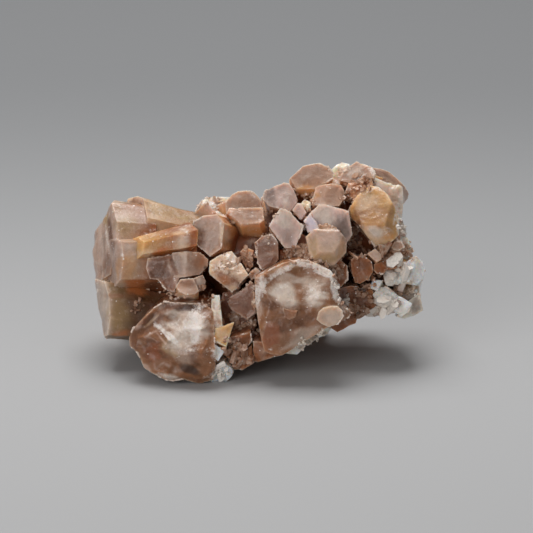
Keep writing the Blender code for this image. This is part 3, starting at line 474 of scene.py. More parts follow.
def mosaic(flat, seed, count, tilt):
    """Low facets on an end: the lowest of a few planes, each tilted about a place of its own."""
    rng = np.random.default_rng(seed)
    low, high = flat.reshape(-1, 2).min(axis=0), flat.reshape(-1, 2).max(axis=0)
    centres = rng.uniform(low, high, (count, 2))
    tilts = rng.uniform(-tilt, tilt, (count, 2))
    off = flat[..., None, :] - centres
    height = np.min(np.sum(off * tilts, axis=-1), axis=-1)
    return height - height.mean()


def side_grid(item, ring, middle, spacing, seed):
    """A crystal's side: rows of points from its root to its rim, their depths and what is outward.

    A point lies on the straight line from its rim point to the root, moved in or out by growth
    lines that run along the axis, slow bulges and, where the crystal is broken, by crags.
    """
    axis = unit(item["axis"])
    wear = item["wear"]
    root = middle - axis * item["length"] + (ring - middle) * item["taper"]
    rows = max(SIDE_ROWS_LEAST, int(item["length"] / (SIDE_ROW_SPACING * spacing)))
    share = (1.0 - np.arange(rows) / rows) ** ROWS_CROWD
    side = ring + (root - ring) * share[:, None, None]
    depth = np.broadcast_to((share * item["length"])[:, None], side.shape[:2])
    outward = (ring - middle) - np.outer((ring - middle) @ axis, axis)
    outward /= np.linalg.norm(outward, axis=1, keepdims=True) + 1e-9

    where = side.reshape(-1, 3)
    lines = layered(stretched(where, axis, LINE_RUN), LINE_SIZE, seed + 1, 3)
    bulge = noise(where, BULGE_SIZE, seed + 2)
    push = LINE_HIGH * wear.get("stria", 1.0) * lines + BULGE_HIGH * bulge
    push = push + SWELL_HIGH * noise(where, SWELL_SIZE, seed + 3)
    crags = np.abs(layered(where, CRAG_SIZE, seed + 15, 2))
    push = push - SIDE_CRAG * wear.get("crag", 0.0) * crags
    push = push.reshape(side.shape[:2]) * smooth_step(0.0, 0.8, depth)
    return side + outward * push[..., None], depth, outward


def end_grid(item, flat, spacing, seed):
    """A crystal's end: rows from its rim to its middle, their distances from the rim and the tip.

    A point lies on the end faces, raised by low facets and noise, and by crags where the crystal
    is broken. All of them fade out towards the rim.
    """
    look, wear = LOOKS[item["look"]], item["wear"]
    axis = unit(item["axis"])
    middle = flat.mean(axis=0)
    distance = np.linalg.norm(flat - middle, axis=1)
    reach = distance.max()
    rows = max(END_ROWS_LEAST, int(reach / spacing))
    share = 1.0 - (np.arange(rows) / rows)
    end_flat = middle + (flat - middle) * share[:, None, None]
    end = on_faces(item, end_flat)
    from_rim = (1.0 - share)[:, None] * distance

    where = end.reshape(-1, 3)
    streak = wear.get("streak", look.streak)
    if streak is not None:
        where = stretched(where, streak, STREAK_RUN)
    rough = layered(where, wear.get("grain", END_GRAIN), seed + 4, 4).reshape(end.shape[:2])
    tilt = FACET_TILT * wear.get("facets", 1.0)
    facets = mosaic(end_flat, seed + 5, int(FACETS_LEAST + FACETS_PER_MM * reach), tilt)
    relief = wear.get("relief", look.relief)
    raised = relief * rough * END_ROUGHNESS * smooth_step(0.0, 0.6, from_rim)
    crags = np.abs(layered(end.reshape(-1, 3), CRAG_SIZE, seed + 14, 2)).reshape(end.shape[:2])
    ridges = CRAG_TOP - crags
    raised = raised + wear.get("crag", 0.0) * ridges * smooth_step(0.0, 1.6, from_rim)
    raised = raised + facets * smooth_step(0.0, 0.3 * reach, from_rim)
    tip = on_faces(item, middle[None]) + axis * raised[-1].mean()
    return end + axis * raised[..., None], from_rim, tip, reach


def crystal_surface(item, spacing, seed):
    """One crystal as a grid: round its outline, and along from the root, over the rim, to the tip.

    Near the rim the side and the end are moved inwards by a rounding that falls off with the
    distance and swells where noise is high, which makes chips.
    """
    look, wear = LOOKS[item["look"]], item["wear"]
    corners = np.array(item["outline"], float)
    flat = walk_round(corners, spacing)
    middle = on_faces(item, corners).mean(axis=0)
    ring = on_faces(item, flat)
    axis = unit(item["axis"])
    side, depth, outward = side_grid(item, ring, middle, spacing, seed)
    end, from_rim, tip, reach = end_grid(item, flat, spacing, seed)

    chip_noise = layered(ring, CHIP_SIZE, seed + 6, 3)
    chip = CHIP_LEAST + wear.get("chip", look.chip) * smooth_step(0.15, 0.8, chip_noise)
    inward = unit_rows(-axis - outward)
    for rows, near in ((side, depth), (end, from_rim)):
        fall = np.exp(-(near / (1.3 * chip + 0.12)) ** 2)
        rows += inward * (chip * fall)[..., None] * 0.9
    foot = (middle - axis * item["length"] + (ring - middle) * item["taper"]).mean(axis=0)[None]
    points = np.concatenate((foot, side.reshape(-1, 3), end.reshape(-1, 3), tip))
    quads, tips = tube_faces(len(side) + len(end), len(flat))

    length = item["length"]
    rim_near = np.concatenate((depth.reshape(-1), from_rim.reshape(-1)))
    on_end = np.concatenate((np.zeros(depth.size), np.ones(from_rim.size)))
    far_in = np.concatenate((depth.reshape(-1), np.zeros(from_rim.size)))
    # The rim mask whitens the rims: partly chips, partly a painted highlight along the edges.
    bright = 0.25 + 0.75 * smooth_step(-0.35, 0.45, layered(ring, 3.0, seed + 9, 3))
    bright = np.tile(bright * wear.get("rim", 1.0), len(side) + len(end))
    rim = bright * np.exp(-(rim_near / RIM_WIDE) ** 2)
    masks = dict(rim=np.concatenate(([0.0], rim, [0.0])),
                 end=np.concatenate(([0.0], on_end, [1.0])),
                 depth=np.concatenate(([length], far_in, [0.0])))
    shade = 1.0 + np.random.default_rng(seed).uniform(-SHADE_VARIES, SHADE_VARIES)
    near = np.concatenate(([length], rim_near, [reach]))
    masks["tint"] = crystal_colour(points, masks, near, look, shade, seed, wear)
    masks["frost"] = np.full(len(points), wear.get("frost", look.frost))
    return points, quads, tips, masks


def tube_faces(rows, count):
    """Faces of a closed tube: quads between rows, and a fan of triangles at each end."""
    k = np.arange(count)
    following = (k + 1) % count
    first = 1 + np.arange(rows - 1)[:, None] * count
    quads = np.stack((first + k, first + following, first + count + following,
                      first + count + k), axis=-1).reshape(-1, 4)
    last = 1 + (rows - 1) * count
    tip = 1 + rows * count
    low_fan = np.stack((np.zeros(count, int), 1 + following, 1 + k), axis=-1)
    high_fan = np.stack((np.full(count, tip), last + k, last + following), axis=-1)
    return quads, np.concatenate((low_fan, high_fan))


PAINTED_RIM_GLOW = (0.26, 0.26, 0.24)   # painted glow: how much lighter the stone is painted near a rim, in each colour, where light shines through
PAINTED_RIM_GLOW_REACH = 1.1            # and how far in from it, mm
END_REACH = 0.8                 # how far the end's colour reaches down the sides, mm
WARMER = (0.03, -0.02, -0.09)   # what a warm cloud adds to each colour
VEIL = linear(222, 202, 186)    # a crack inside a crystal, where it catches the light
VEILS, VEIL_STRENGTH = 3, 0.32


def crystal_colour(points, masks, near, look, shade, seed, wear):
    """End colour on the end; on the sides honey near the end, passing to a darker root, which is
    painted shade deeper down among the crystals.

    Both pass to a lighter tone towards the rim, a painted glow where light shines through. Clouds
    and a few broken veils, each a thin sheet across the crystal, vary it.
    """
    # Painted shade: the sides darken towards the root, deeper down among the crystals.
    sink = smooth_step(0.5, wear.get("sink", 9.0), masks["depth"])[:, None]
    side = look.side * (1.0 - sink) + look.deep * sink
    end = np.maximum(masks["end"], np.exp(-(masks["depth"] / END_REACH) ** 2))[:, None]
    colour = side * (1.0 - end) + look.end * end
    cloud = layered(points, 3.6, seed + 7, 3)[:, None]
    warm = noise(points, 5.0, seed + 8)[:, None]
    colour = colour * shade * (1.0 + 0.18 * cloud)
    colour = colour * (1.0 + warm * np.array(WARMER))
    # Painted glow: lighter near the rim, painted where light shines through the crystal.
    painted_glow = np.exp(-(near / PAINTED_RIM_GLOW_REACH) ** 2)[:, None]
    colour = colour * (1.0 + painted_glow * np.array(PAINTED_RIM_GLOW))
    rng = np.random.default_rng(seed + 10)
    for k in range(VEILS):
        facing = unit(rng.normal(size=3))
        level = (points - points.mean(axis=0)) @ facing
        place = rng.uniform(-0.5, 0.5) * level.max()
        broken = smooth_step(-0.1, 0.5, layered(points, 2.6, seed + 11 + k, 3))
        veil = np.exp(-((level - place) / rng.uniform(0.2, 0.7)) ** 2) * broken
        colour = colour + (VEIL - colour) * (VEIL_STRENGTH * veil)[:, None]
    return colour


# Crystals that the photograph's side hides: the same rule and seed as the solid's

SILHOUETTE = [
    (-38, 4), (-37.5, 7), (-36.7, 11), (-35.6, 14), (-34, 16), (-32, 17), (-27.5, 17.2),
    (-24.8, 17.9), (-20, 16.2), (-15.3, 14.6), (-13.7, 17), (-12.3, 17.9), (-6.8, 18.4),
    (-4, 19.2), (0.6, 19.1), (5, 21), (9.3, 24.9), (13.2, 25.5), (15.3, 24.5), (18.5, 25.7),
    (21.5, 25.9), (27, 24.4), (31, 22), (33.7, 18.8), (32.2, 15.8), (32.3, 9.5), (34, 6),
    (37, 1), (35.8, -4), (36.6, -8), (32, -10), (27.2, -9.4), (21.8, -9.2), (18.5, -12.3),
    (13, -14.3), (8, -18), (2, -18.8), (-3, -21), (-8, -24), (-14, -24.6), (-22, -23.5),
    (-26.8, -20.8), (-30, -14.2), (-33.5, -14.7), (-35.1, -14), (-36.2, -11), (-37.4, -1),
]
CORE = [
    ((-22, 5, -3), (12, 9.5, 9)),
    ((-3, 3, -3), (14, 11.5, 10)),
    ((-16, -12, 2), (10, 9.5, 11)),
    ((6, -8, 1), (11, 8, 10)),
    ((20, 9, -5), (11.5, 11, 9)),
    ((26, -1, -4), (8, 6, 7)),
]
DEPTH_BACK = 23.0               # how far behind the middle the crystals at the back reach, mm
SILHOUETTE_MARGIN = 0.7         # how far they stay inside the outline seen from the front, mm
CLEARANCE = 0.4                 # how far above the floor they stay, mm
SEED = 11
SPOKES = 26                     # directions tried round each lump
FACING_MOST = 0.12              # crystals of the back don't turn to the viewer more than this
HIDDEN_SIZES = (2.6, 4.4)       # smallest and largest half width of those crystals, mm
HIDDEN_REACHES = (30, 8)        # longest and shortest distance of their ends from the lump, mm
HIDDEN_OUT = 0.0                # their ends stay behind this, mm out towards the viewer
REACH_LEAST = 0.97              # an end stands in from its reach by up to the rest
ROOT_SHARE = 0.75               # their length, as a share of that distance
ROOT_TAPER = 0.7                # their root, as a share of their end
OVAL = 0.16                     # how far from regular their six sides are
HIDDEN_LOOKS = ("mauve", "dusky", "honey", "lilac", "brown")
LUMP_SHARE = 0.88               # the inner mass here, as a share of the solid's
LUMP_SET_BACK = 2.2             # and how far it is set back, so that crystals show their sides
LUMP_ROUGHNESS = 0.6
LUMP_GRID = (96, 46)            # points round a lump, and rows of them


def inside_by(across, up, margin):
    """Whether a point of the front view is inside the silhouette by a margin."""
    inside = False
    nearest = 1e9
    for k, (x1, y1) in enumerate(SILHOUETTE):
        x0, y0 = SILHOUETTE[k - 1]
        if (y0 > up) != (y1 > up) and across < (x1 - x0) * (up - y0) / (y1 - y0) + x0:
            inside = not inside
        run = Vector((x1 - x0, y1 - y0))
        off = Vector((across - x0, up - y0))
        share = max(0.0, min(1.0, off.dot(run) / run.length_squared))
        nearest = min(nearest, (off - run * share).length)
    return inside and nearest > margin


def within_depth(point):
    """Whether a listed point is above the floor and not too far behind."""
    height = point.y * AXIS_UP + point.z * AXIS_OUT
    behind = point.y * AXIS_OUT - point.z * AXIS_UP
    return height > FLOOR + CLEARANCE and behind < DEPTH_BACK


def hidden_crystals():
    """Six-sided prisms that radiate from the lumps at the back, inside the silhouette.

    Directions stand on a golden spiral round each lump. Along each, the end starts at the
    longest reach and comes in until all its corners are inside.
    """
    rng = random.Random(SEED)
    made = []
    golden = math.pi * (3.0 - math.sqrt(5.0))
    longest, shortest = HIDDEN_REACHES
    for middle, _ in CORE:
        start = rng.uniform(0.0, math.tau)
        for k in range(SPOKES):
            height = 1.0 - 2.0 * (k + 0.5) / SPOKES
            turn = start + golden * k
            flat = math.sqrt(1.0 - height * height)
            axis = Vector((flat * math.cos(turn), height, flat * math.sin(turn)))
            if axis.z > FACING_MOST:
                continue
            size = rng.uniform(*HIDDEN_SIZES)
            for reach in range(longest, shortest - 1, -1):
                at = Vector(middle) + axis * reach * rng.uniform(REACH_LEAST, 1.0)
                look = HIDDEN_LOOKS[len(made) % len(HIDDEN_LOOKS)]
                item = hexagon(at, axis, size, rng.uniform(0.0, 1.0), reach * ROOT_SHARE, look)
                ring = on_faces(item, np.array(item["outline"]))
                if all(inside_by(p[0], p[1], SILHOUETTE_MARGIN) and within_depth(Vector(p))
                       for p in ring):
                    made.append(item)
                    break
    return [item for item in made
            if on_faces(item, np.array(item["outline"]))[:, 2].max() < HIDDEN_OUT]


def hexagon(at, axis, size, turn, length, look):
    """A six-sided crystal of the back, its end square to its axis."""
    side = axis.orthogonal().normalized()
    other = axis.cross(side)
    outline = []
    for k in range(6):
        angle = math.tau * (k + turn) / 6
        stretch = 1.0 + OVAL * math.cos(2 * angle + 5 * turn)
        outline.append((math.cos(angle) * size * stretch, math.sin(angle) * size * stretch))
    return dict(outline=outline, base=(np.array(at), np.array(side), np.array(other)),
                faces=[], length=length, axis=tuple(axis), taper=ROOT_TAPER, side_on=False,
                look=look, wear={})


def lump_surface(middle, half_sizes, seed):
    """A lump of the inner mass: longitude and latitude on an ellipsoid, roughened by noise."""
    count, rows = LUMP_GRID
    turn = np.arange(count) * math.tau / count
    lift = -math.pi / 2 + math.pi * (np.arange(rows) + 1) / (rows + 1)
    ball = np.stack((np.cos(lift)[:, None] * np.cos(turn), np.cos(lift)[:, None] * np.sin(turn),
                     np.sin(lift)[:, None] * np.ones(count)), axis=-1).reshape(-1, 3)
    ball = np.concatenate(([[0, 0, -1.0]], ball, [[0, 0, 1.0]]))
    points = ball * half_sizes * LUMP_SHARE + middle - (0.0, 0.0, LUMP_SET_BACK)
    points = points + ball * (LUMP_ROUGHNESS * layered(points, 2.0, seed, 3))[:, None]
    quads, tips = tube_faces(rows, count)
    full = np.ones(len(points))
    # A depth of 6 mm paints the lumps in their look's darker root colour: partly painted shade, deep among
    # the crystals.
    masks = dict(rim=full * 0.0, end=full * 0.0, depth=full * 6.0, frost=full * 0.0)
    masks["tint"] = crystal_colour(points, masks, full * 9.0, LOOKS["rust"], 0.8, seed, {})
    return points, quads, tips, masks


# Meshes

UNSET = 0.999                   # the union leaves its new points plain white, above this
SEAM_STEPS = 6                  # how many edges deep their masks are filled in


def fill_mesh(name, points, faces, masks):
    """A mesh from arrays of points and of quads or triangles, with its masks as attributes."""
    mesh = bpy.data.meshes.new(name)
    sizes = np.concatenate([np.full(len(part), part.shape[1]) for part in faces])
    corners = np.concatenate([part.reshape(-1) for part in faces])
    mesh.vertices.add(len(points))
    mesh.vertices.foreach_set("co", np.asarray(points, np.float32).ravel())
    mesh.loops.add(len(corners))
    mesh.loops.foreach_set("vertex_index", corners.astype(np.int32))
    mesh.polygons.add(len(sizes))
    starts = np.concatenate(([0], np.cumsum(sizes)[:-1])).astype(np.int32)
    mesh.polygons.foreach_set("loop_start", starts)
    mesh.update(calc_edges=True)
    for key, values in masks.items():
        set_mask(mesh, key, values)
    return mesh


def set_mask(mesh, key, values):
    """Stores a number, or a colour, for each vertex."""
    kind, slot = "FLOAT", "value"
    if values.ndim == 2:
        kind, slot = "FLOAT_COLOR", "color"
        values = np.column_stack((np.clip(values, 0.0, 1.0), np.ones(len(values))))
    if key not in mesh.attributes:
        mesh.attributes.new(key, kind, "POINT")
    mesh.attributes[key].data.foreach_set(slot, values.astype(np.float32).ravel())


def read(elements, key, width):
    """Reads what each vertex or attribute value holds under a key, one row for each."""
    values = np.zeros(len(elements) * width, np.float32)
    elements.foreach_get(key, values)
    return values.reshape(-1, width).astype(float)


def get_mask(mesh, key):
    """Reads a number for each vertex."""
    return read(mesh.attributes[key].data, "value", 1)[:, 0]


def get_tint(mesh):
    """Reads the colour of each vertex."""
    return read(mesh.attributes["tint"].data, "color", 4)[:, :3]


def get_points(mesh):
    """A mesh's points as an array."""
    return read(mesh.vertices, "co", 3)


def signed_volume(points, faces):
    """The volume that the faces enclose, negative where they point inwards."""
    total = 0.0
    for part in faces:
        first = points[part[:, 0]]
        for k in range(1, part.shape[1] - 1):
            total += np.sum(first * np.cross(points[part[:, k]], points[part[:, k + 1]]))
    return total


def grown_together(name, surfaces):
    """Joins closed surfaces into one mesh, so that nothing is left inside."""
    holder = bpy.data.collections.new(name + "_parts")
    objects = []
    for k, (points, quads, tips, masks) in enumerate(surfaces):
        faces = (quads, tips)
        if signed_volume(points, faces) < 0.0:
            faces = (quads[:, ::-1], tips[:, ::-1])
        mesh = fill_mesh(f"{name}_{k}", points, faces, masks)
        objects.append(bpy.data.objects.new(mesh.name, mesh))
    bpy.context.scene.collection.objects.link(objects[0])
    for item in objects[1:]:
        holder.objects.link(item)
    bpy.context.scene.collection.children.link(holder)
    union = objects[0].modifiers.new("grown together", "BOOLEAN")
    union.operation = "UNION"
    union.solver = "MANIFOLD"
    union.operand_type = "COLLECTION"
    union.collection = holder
    depsgraph = bpy.context.evaluated_depsgraph_get()
    mesh = bpy.data.meshes.new_from_object(objects[0].evaluated_get(depsgraph))
    for item in objects:
        old = item.data
        bpy.data.objects.remove(item)
        bpy.data.meshes.remove(old)
    bpy.data.collections.remove(holder)
    mend_seams(mesh)
    return mesh


def mend_seams(mesh):
    """Fills in the masks of the points that the union made, from their neighbours' along edges."""
    keys = ("rim", "end", "depth", "frost")
    tint = get_tint(mesh)
    known = tint.min(axis=1) < UNSET
    values = np.column_stack([get_mask(mesh, key) for key in keys] + [tint])
    ends = np.zeros(len(mesh.edges) * 2, np.int32)
    mesh.edges.foreach_get("vertices", ends)
    ends = ends.reshape(-1, 2)
    ends = np.concatenate((ends, ends[:, ::-1]))
    for _ in range(SEAM_STEPS):
        reached = ends[known[ends[:, 0]] & ~known[ends[:, 1]]]
        total = np.zeros_like(values)
        np.add.at(total, reached[:, 1], values[reached[:, 0]])
        count = np.bincount(reached[:, 1], minlength=len(values))
        filled = count > 0
        values[filled] = total[filled] / count[filled, None]
        known = known | filled
    for k, key in enumerate(keys):
        set_mask(mesh, key, values[:, k])
    set_mask(mesh, "tint", values[:, len(keys):])


SHARP_FROM = math.radians(36.0)   # an edge that turns by more than this stays sharp


def add_piece(name, mesh, glow_share=1.0):
    """Places a finished mesh in the frame as a piece of the specimen."""
    points = to_frame(get_points(mesh))
    points[:, 2] = np.maximum(points[:, 2], 0.0)
    mesh.vertices.foreach_set("co", points.astype(np.float32).ravel())
    mesh.name = name
    mesh.materials.clear()
    mesh.materials.append(stone_material(glow_share))
    mesh.shade_smooth()
    mesh.set_sharp_from_angle(angle=SHARP_FROM)
    mesh.update()
    piece = bpy.data.objects.new(name, mesh)
    bpy.context.scene.collection.objects.link(piece)
    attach(piece, "root")
    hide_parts(NODE)
    return piece


# Patches of other colour on the front: kind, across, up, half sizes, turn in degrees, strength.
# Each has a noise of its own, set by its place in the list. TOUCHES are small ones all over.

PIGMENTS = {
    "milk": linear(220, 204, 190), "pink": linear(196, 166, 150), "tan": linear(226, 190, 154),
    "honey": linear(204, 150, 96), "amber": linear(180, 104, 52), "umber": linear(104, 64, 40),
    "grey": linear(136, 116, 108), "olive": linear(176, 144, 98), "rust": linear(152, 86, 50),
    "brown": linear(158, 112, 82), "dark": linear(44, 24, 14), "silver": linear(206, 196, 206),
}

BARREL_PATCHES = [
    ("olive", -35.6, 12.2, 0.8, 2.2, -5, 0.7), ("umber", -34.3, 9.5, 0.5, 3.6, 8, 0.8),
    ("umber", -35.7, 6.0, 0.4, 2.5, 5, 0.7), ("umber", -34.8, 2.0, 1.8, 2.4, 0, 0.55),
    ("pink", -36.9, 7.0, 0.4, 4.0, -3, 0.6), ("frost", -35.2, 8.5, 0.35, 4.0, 8, 0.6),
    ("frost", -33.0, 8.1, 1.2, 0.5, 0, 0.7), ("brown", -29.5, 15.2, 3.6, 1.8, 0, 0.7),
    ("pink", -27.6, 12.2, 2.8, 2.0, -20, 0.5), ("olive", -30.6, 11.4, 2.6, 1.8, 10, 0.4),
    # The frost at -31.6, 4.4 on this line is a painted glint.
    ("pink", -30.5, 6.2, 2.4, 1.7, -25, 0.6), ("frost", -31.6, 4.4, 0.5, 0.4, -45, 1.0),
    ("honey", -30.5, 1.0, 2.4, 2.6, 0, 0.6), ("amber", -28.2, -2.4, 2.6, 1.8, 0, 0.8),
    ("umber", -24.6, -2.6, 2.0, 2.0, 0, 0.9), ("grey", -36.8, -7.0, 0.8, 5.5, 4, 0.6),
    ("brown", -33.0, -4.6, 2.8, 0.6, 0, 0.8), ("umber", -28.8, -7.4, 1.3, 3.4, 0, 0.7),
    ("amber", -32.0, -13.4, 2.2, 0.7, 10, 0.6), ("frost", -25.9, 9.6, 1.3, 0.4, 25, 0.75),
    ("frost", -23.3, 10.3, 1.6, 0.35, 5, 0.7), ("tan", -26.0, 4.7, 1.6, 1.0, -15, 0.8),
    ("amber", -22.8, 5.5, 2.0, 0.9, 10, 0.95), ("tan", -18.0, 8.6, 1.9, 3.0, 0, 0.8),
    ("frost", -17.2, 10.2, 0.6, 1.8, 5, 0.8), ("olive", -17.7, 13.1, 1.8, 0.7, -5, 0.9),
    ("olive", -22.0, 15.0, 4.4, 1.4, -12, 0.45), ("frost", -22.2, 16.2, 0.8, 0.8, 40, 0.6),
    ("frost", -24.9, 17.7, 0.9, 0.3, 10, 0.8), ("frost", -27.0, 16.0, 0.35, 0.9, 20, 0.6),
    ("frost", -32.4, 16.6, 0.8, 0.3, 20, 0.7), ("frost", -37.4, -3.6, 0.35, 0.5, 0, 0.9),
    ("olive", -32.6, -9.4, 2.4, 2.8, 0, 0.5),
]
UPPER_PATCHES = [
    ("pink", -12.2, 5.2, 1.4, 0.8, 0, 0.5), ("tan", -8.4, 9.0, 0.9, 2.8, 0, 0.9),
    ("frost", -9.4, 10.0, 0.3, 2.4, 0, 0.6), ("frost", -12.2, 16.2, 2.6, 1.4, 10, 0.9),
    ("brown", -10.0, 16.2, 1.4, 0.3, 15, 0.9), ("brown", -10.6, 17.4, 1.4, 0.25, 0, 0.6),
    ("brown", -4.0, 16.0, 3.4, 1.2, 3, 0.45), ("grey", -3.6, 13.6, 3.2, 1.2, 0, 0.2),
    ("amber", -7.9, 13.0, 0.6, 1.6, -20, 0.8), ("frost", -7.0, 13.8, 0.5, 0.4, 0, 1.0),
    ("frost", -2.0, 18.0, 0.7, 0.35, -40, 0.8), ("honey", -3.6, 10.4, 4.0, 1.0, 0, 0.7),
    ("umber", -5.4, 7.2, 2.2, 1.2, 0, 0.8), ("grey", 2.0, 17.8, 1.3, 2.4, 10, 0.75),
    ("milk", 5.6, 17.4, 1.6, 2.2, 20, 0.6), ("honey", 10.0, 18.6, 2.0, 1.6, 0, 0.9),
    ("brown", 10.2, 21.0, 2.6, 0.9, 0, 0.5), ("frost", 8.3, 24.2, 1.2, 0.3, 42, 0.7),
    ("silver", 11.0, 11.8, 1.4, 2.0, 20, 0.95), ("milk", 14.4, 13.4, 2.6, 2.0, 0, 0.8),
    ("grey", 18.0, 10.2, 1.8, 2.8, 10, 0.85), ("milk", 4.8, 12.8, 2.4, 1.6, -20, 0.85),
    ("grey", 6.0, 8.2, 1.6, 2.0, 0, 0.35), ("frost", 23.0, 22.6, 2.6, 0.35, 32, 0.95),
    ("frost", 25.1, 23.4, 0.5, 1.3, 15, 0.9), ("milk", 21.0, 23.8, 2.6, 1.2, 25, 0.5),
    ("rust", 22.4, 20.6, 2.4, 0.9, 20, 0.8), ("umber", 19.0, 18.4, 1.4, 1.2, 30, 0.6),
    ("brown", 25.4, 13.4, 4.4, 3.0, 0, 0.5), ("milk", 23.6, 17.0, 3.2, 1.6, 25, 0.45),
    # The tan and the frost near 25.2, 9.2 on this line lighten a cap that faces down: partly its own pale
    # colour, partly painted light.
    ("tan", 25.2, 9.2, 2.8, 1.8, -20, 1.0), ("frost", 25.6, 9.4, 2.0, 0.9, -20, 0.5),
    ("brown", 22.0, 13.0, 1.6, 2.4, 10, 0.5), ("frost", 30.2, 13.6, 0.4, 3.0, -12, 0.9),
    ("frost", 24.6, 19.2, 2.4, 0.4, 28, 0.8), ("frost", 27.8, 10.3, 1.1, 0.8, 0, 0.6),
    ("honey", 28.7, 8.7, 1.7, 0.9, 0, 0.8), ("tan", 24.4, 16.6, 2.6, 1.0, 30, 0.5),
    ("frost", 31.6, 11.0, 1.2, 3.2, 5, 1.2), ("frost", 31.7, 16.6, 0.7, 2.6, 0, 0.8),
    ("frost", 26.4, 19.4, 1.2, 0.6, -30, 0.7), ("umber", 21.6, 9.0, 1.2, 3.0, 0, 0.9),
    ("tan", 30.2, 17.6, 1.8, 2.8, 0, 0.5), ("amber", 32.4, 5.0, 1.2, 0.7, -20, 0.9),
    ("olive", 15.0, 3.8, 2.8, 1.2, 0, 0.7), ("pink", 14.8, 7.8, 2.5, 2.0, 0, 0.75),
    ("olive", 11.7, 5.4, 0.9, 2.6, 10, 0.6), ("honey", 17.8, 5.0, 0.9, 2.4, -10, 0.6),
    ("amber", 17.4, 2.6, 1.0, 1.0, 0, 0.7), ("amber", 5.4, 5.0, 1.4, 0.8, 0, 0.8),
]
MIDDLE_PATCHES = [
    ("grey", -19.0, 2.8, 1.2, 2.6, 5, 0.55), ("milk", -17.2, 3.4, 0.6, 2.2, 5, 0.5),
    ("brown", -14.3, 2.9, 1.5, 2.1, 0, 0.8), ("amber", -13.4, 2.6, 0.8, 1.6, 0, 0.5),
    ("dark", -12.7, 1.6, 0.5, 0.4, 0, 1.0), ("umber", -22.8, 1.6, 2.6, 2.2, 0, 0.8),
    ("pink", -20.2, 0.2, 0.5, 3.0, 20, 0.5), ("umber", -16.6, -1.8, 1.8, 0.9, 0, 0.65),
    ("pink", -17.0, -3.7, 2.0, 0.5, 0, 0.6), ("tan", -17.0, -5.3, 2.0, 0.9, 0, 0.6),
    ("milk", -14.3, -1.2, 0.7, 1.3, 10, 0.5), ("frost", -9.8, 2.4, 2.0, 1.2, 15, 0.7),
    ("frost", -6.6, 3.6, 2.2, 1.3, -35, 0.8), ("brown", -8.9, -0.4, 3.0, 1.2, -38, 0.9),
    ("umber", -6.2, -1.4, 1.6, 0.9, -25, 0.8), ("pink", -5.0, -2.6, 1.6, 0.4, -20, 0.6),
    ("frost", -1.2, 5.2, 0.3, 2.8, -4, 0.7), ("pink", 0.6, 8.0, 1.4, 0.7, 15, 0.5),
    ("umber", 1.4, 4.0, 1.4, 2.2, 0, 0.3), ("tan", -3.4, 4.6, 0.9, 1.2, 0, 0.6),
    ("dark", -3.0, 1.5, 1.0, 0.5, 0, 0.9), ("umber", 22.4, 2.0, 1.8, 1.6, 0, 0.5),
    ("brown", 22.0, -0.6, 1.6, 0.7, 0, 0.6), ("pink", 25.4, 4.6, 1.1, 1.2, 0, 0.7),
    ("brown", 30.8, 6.6, 1.2, 0.9, 0, 0.4),
]
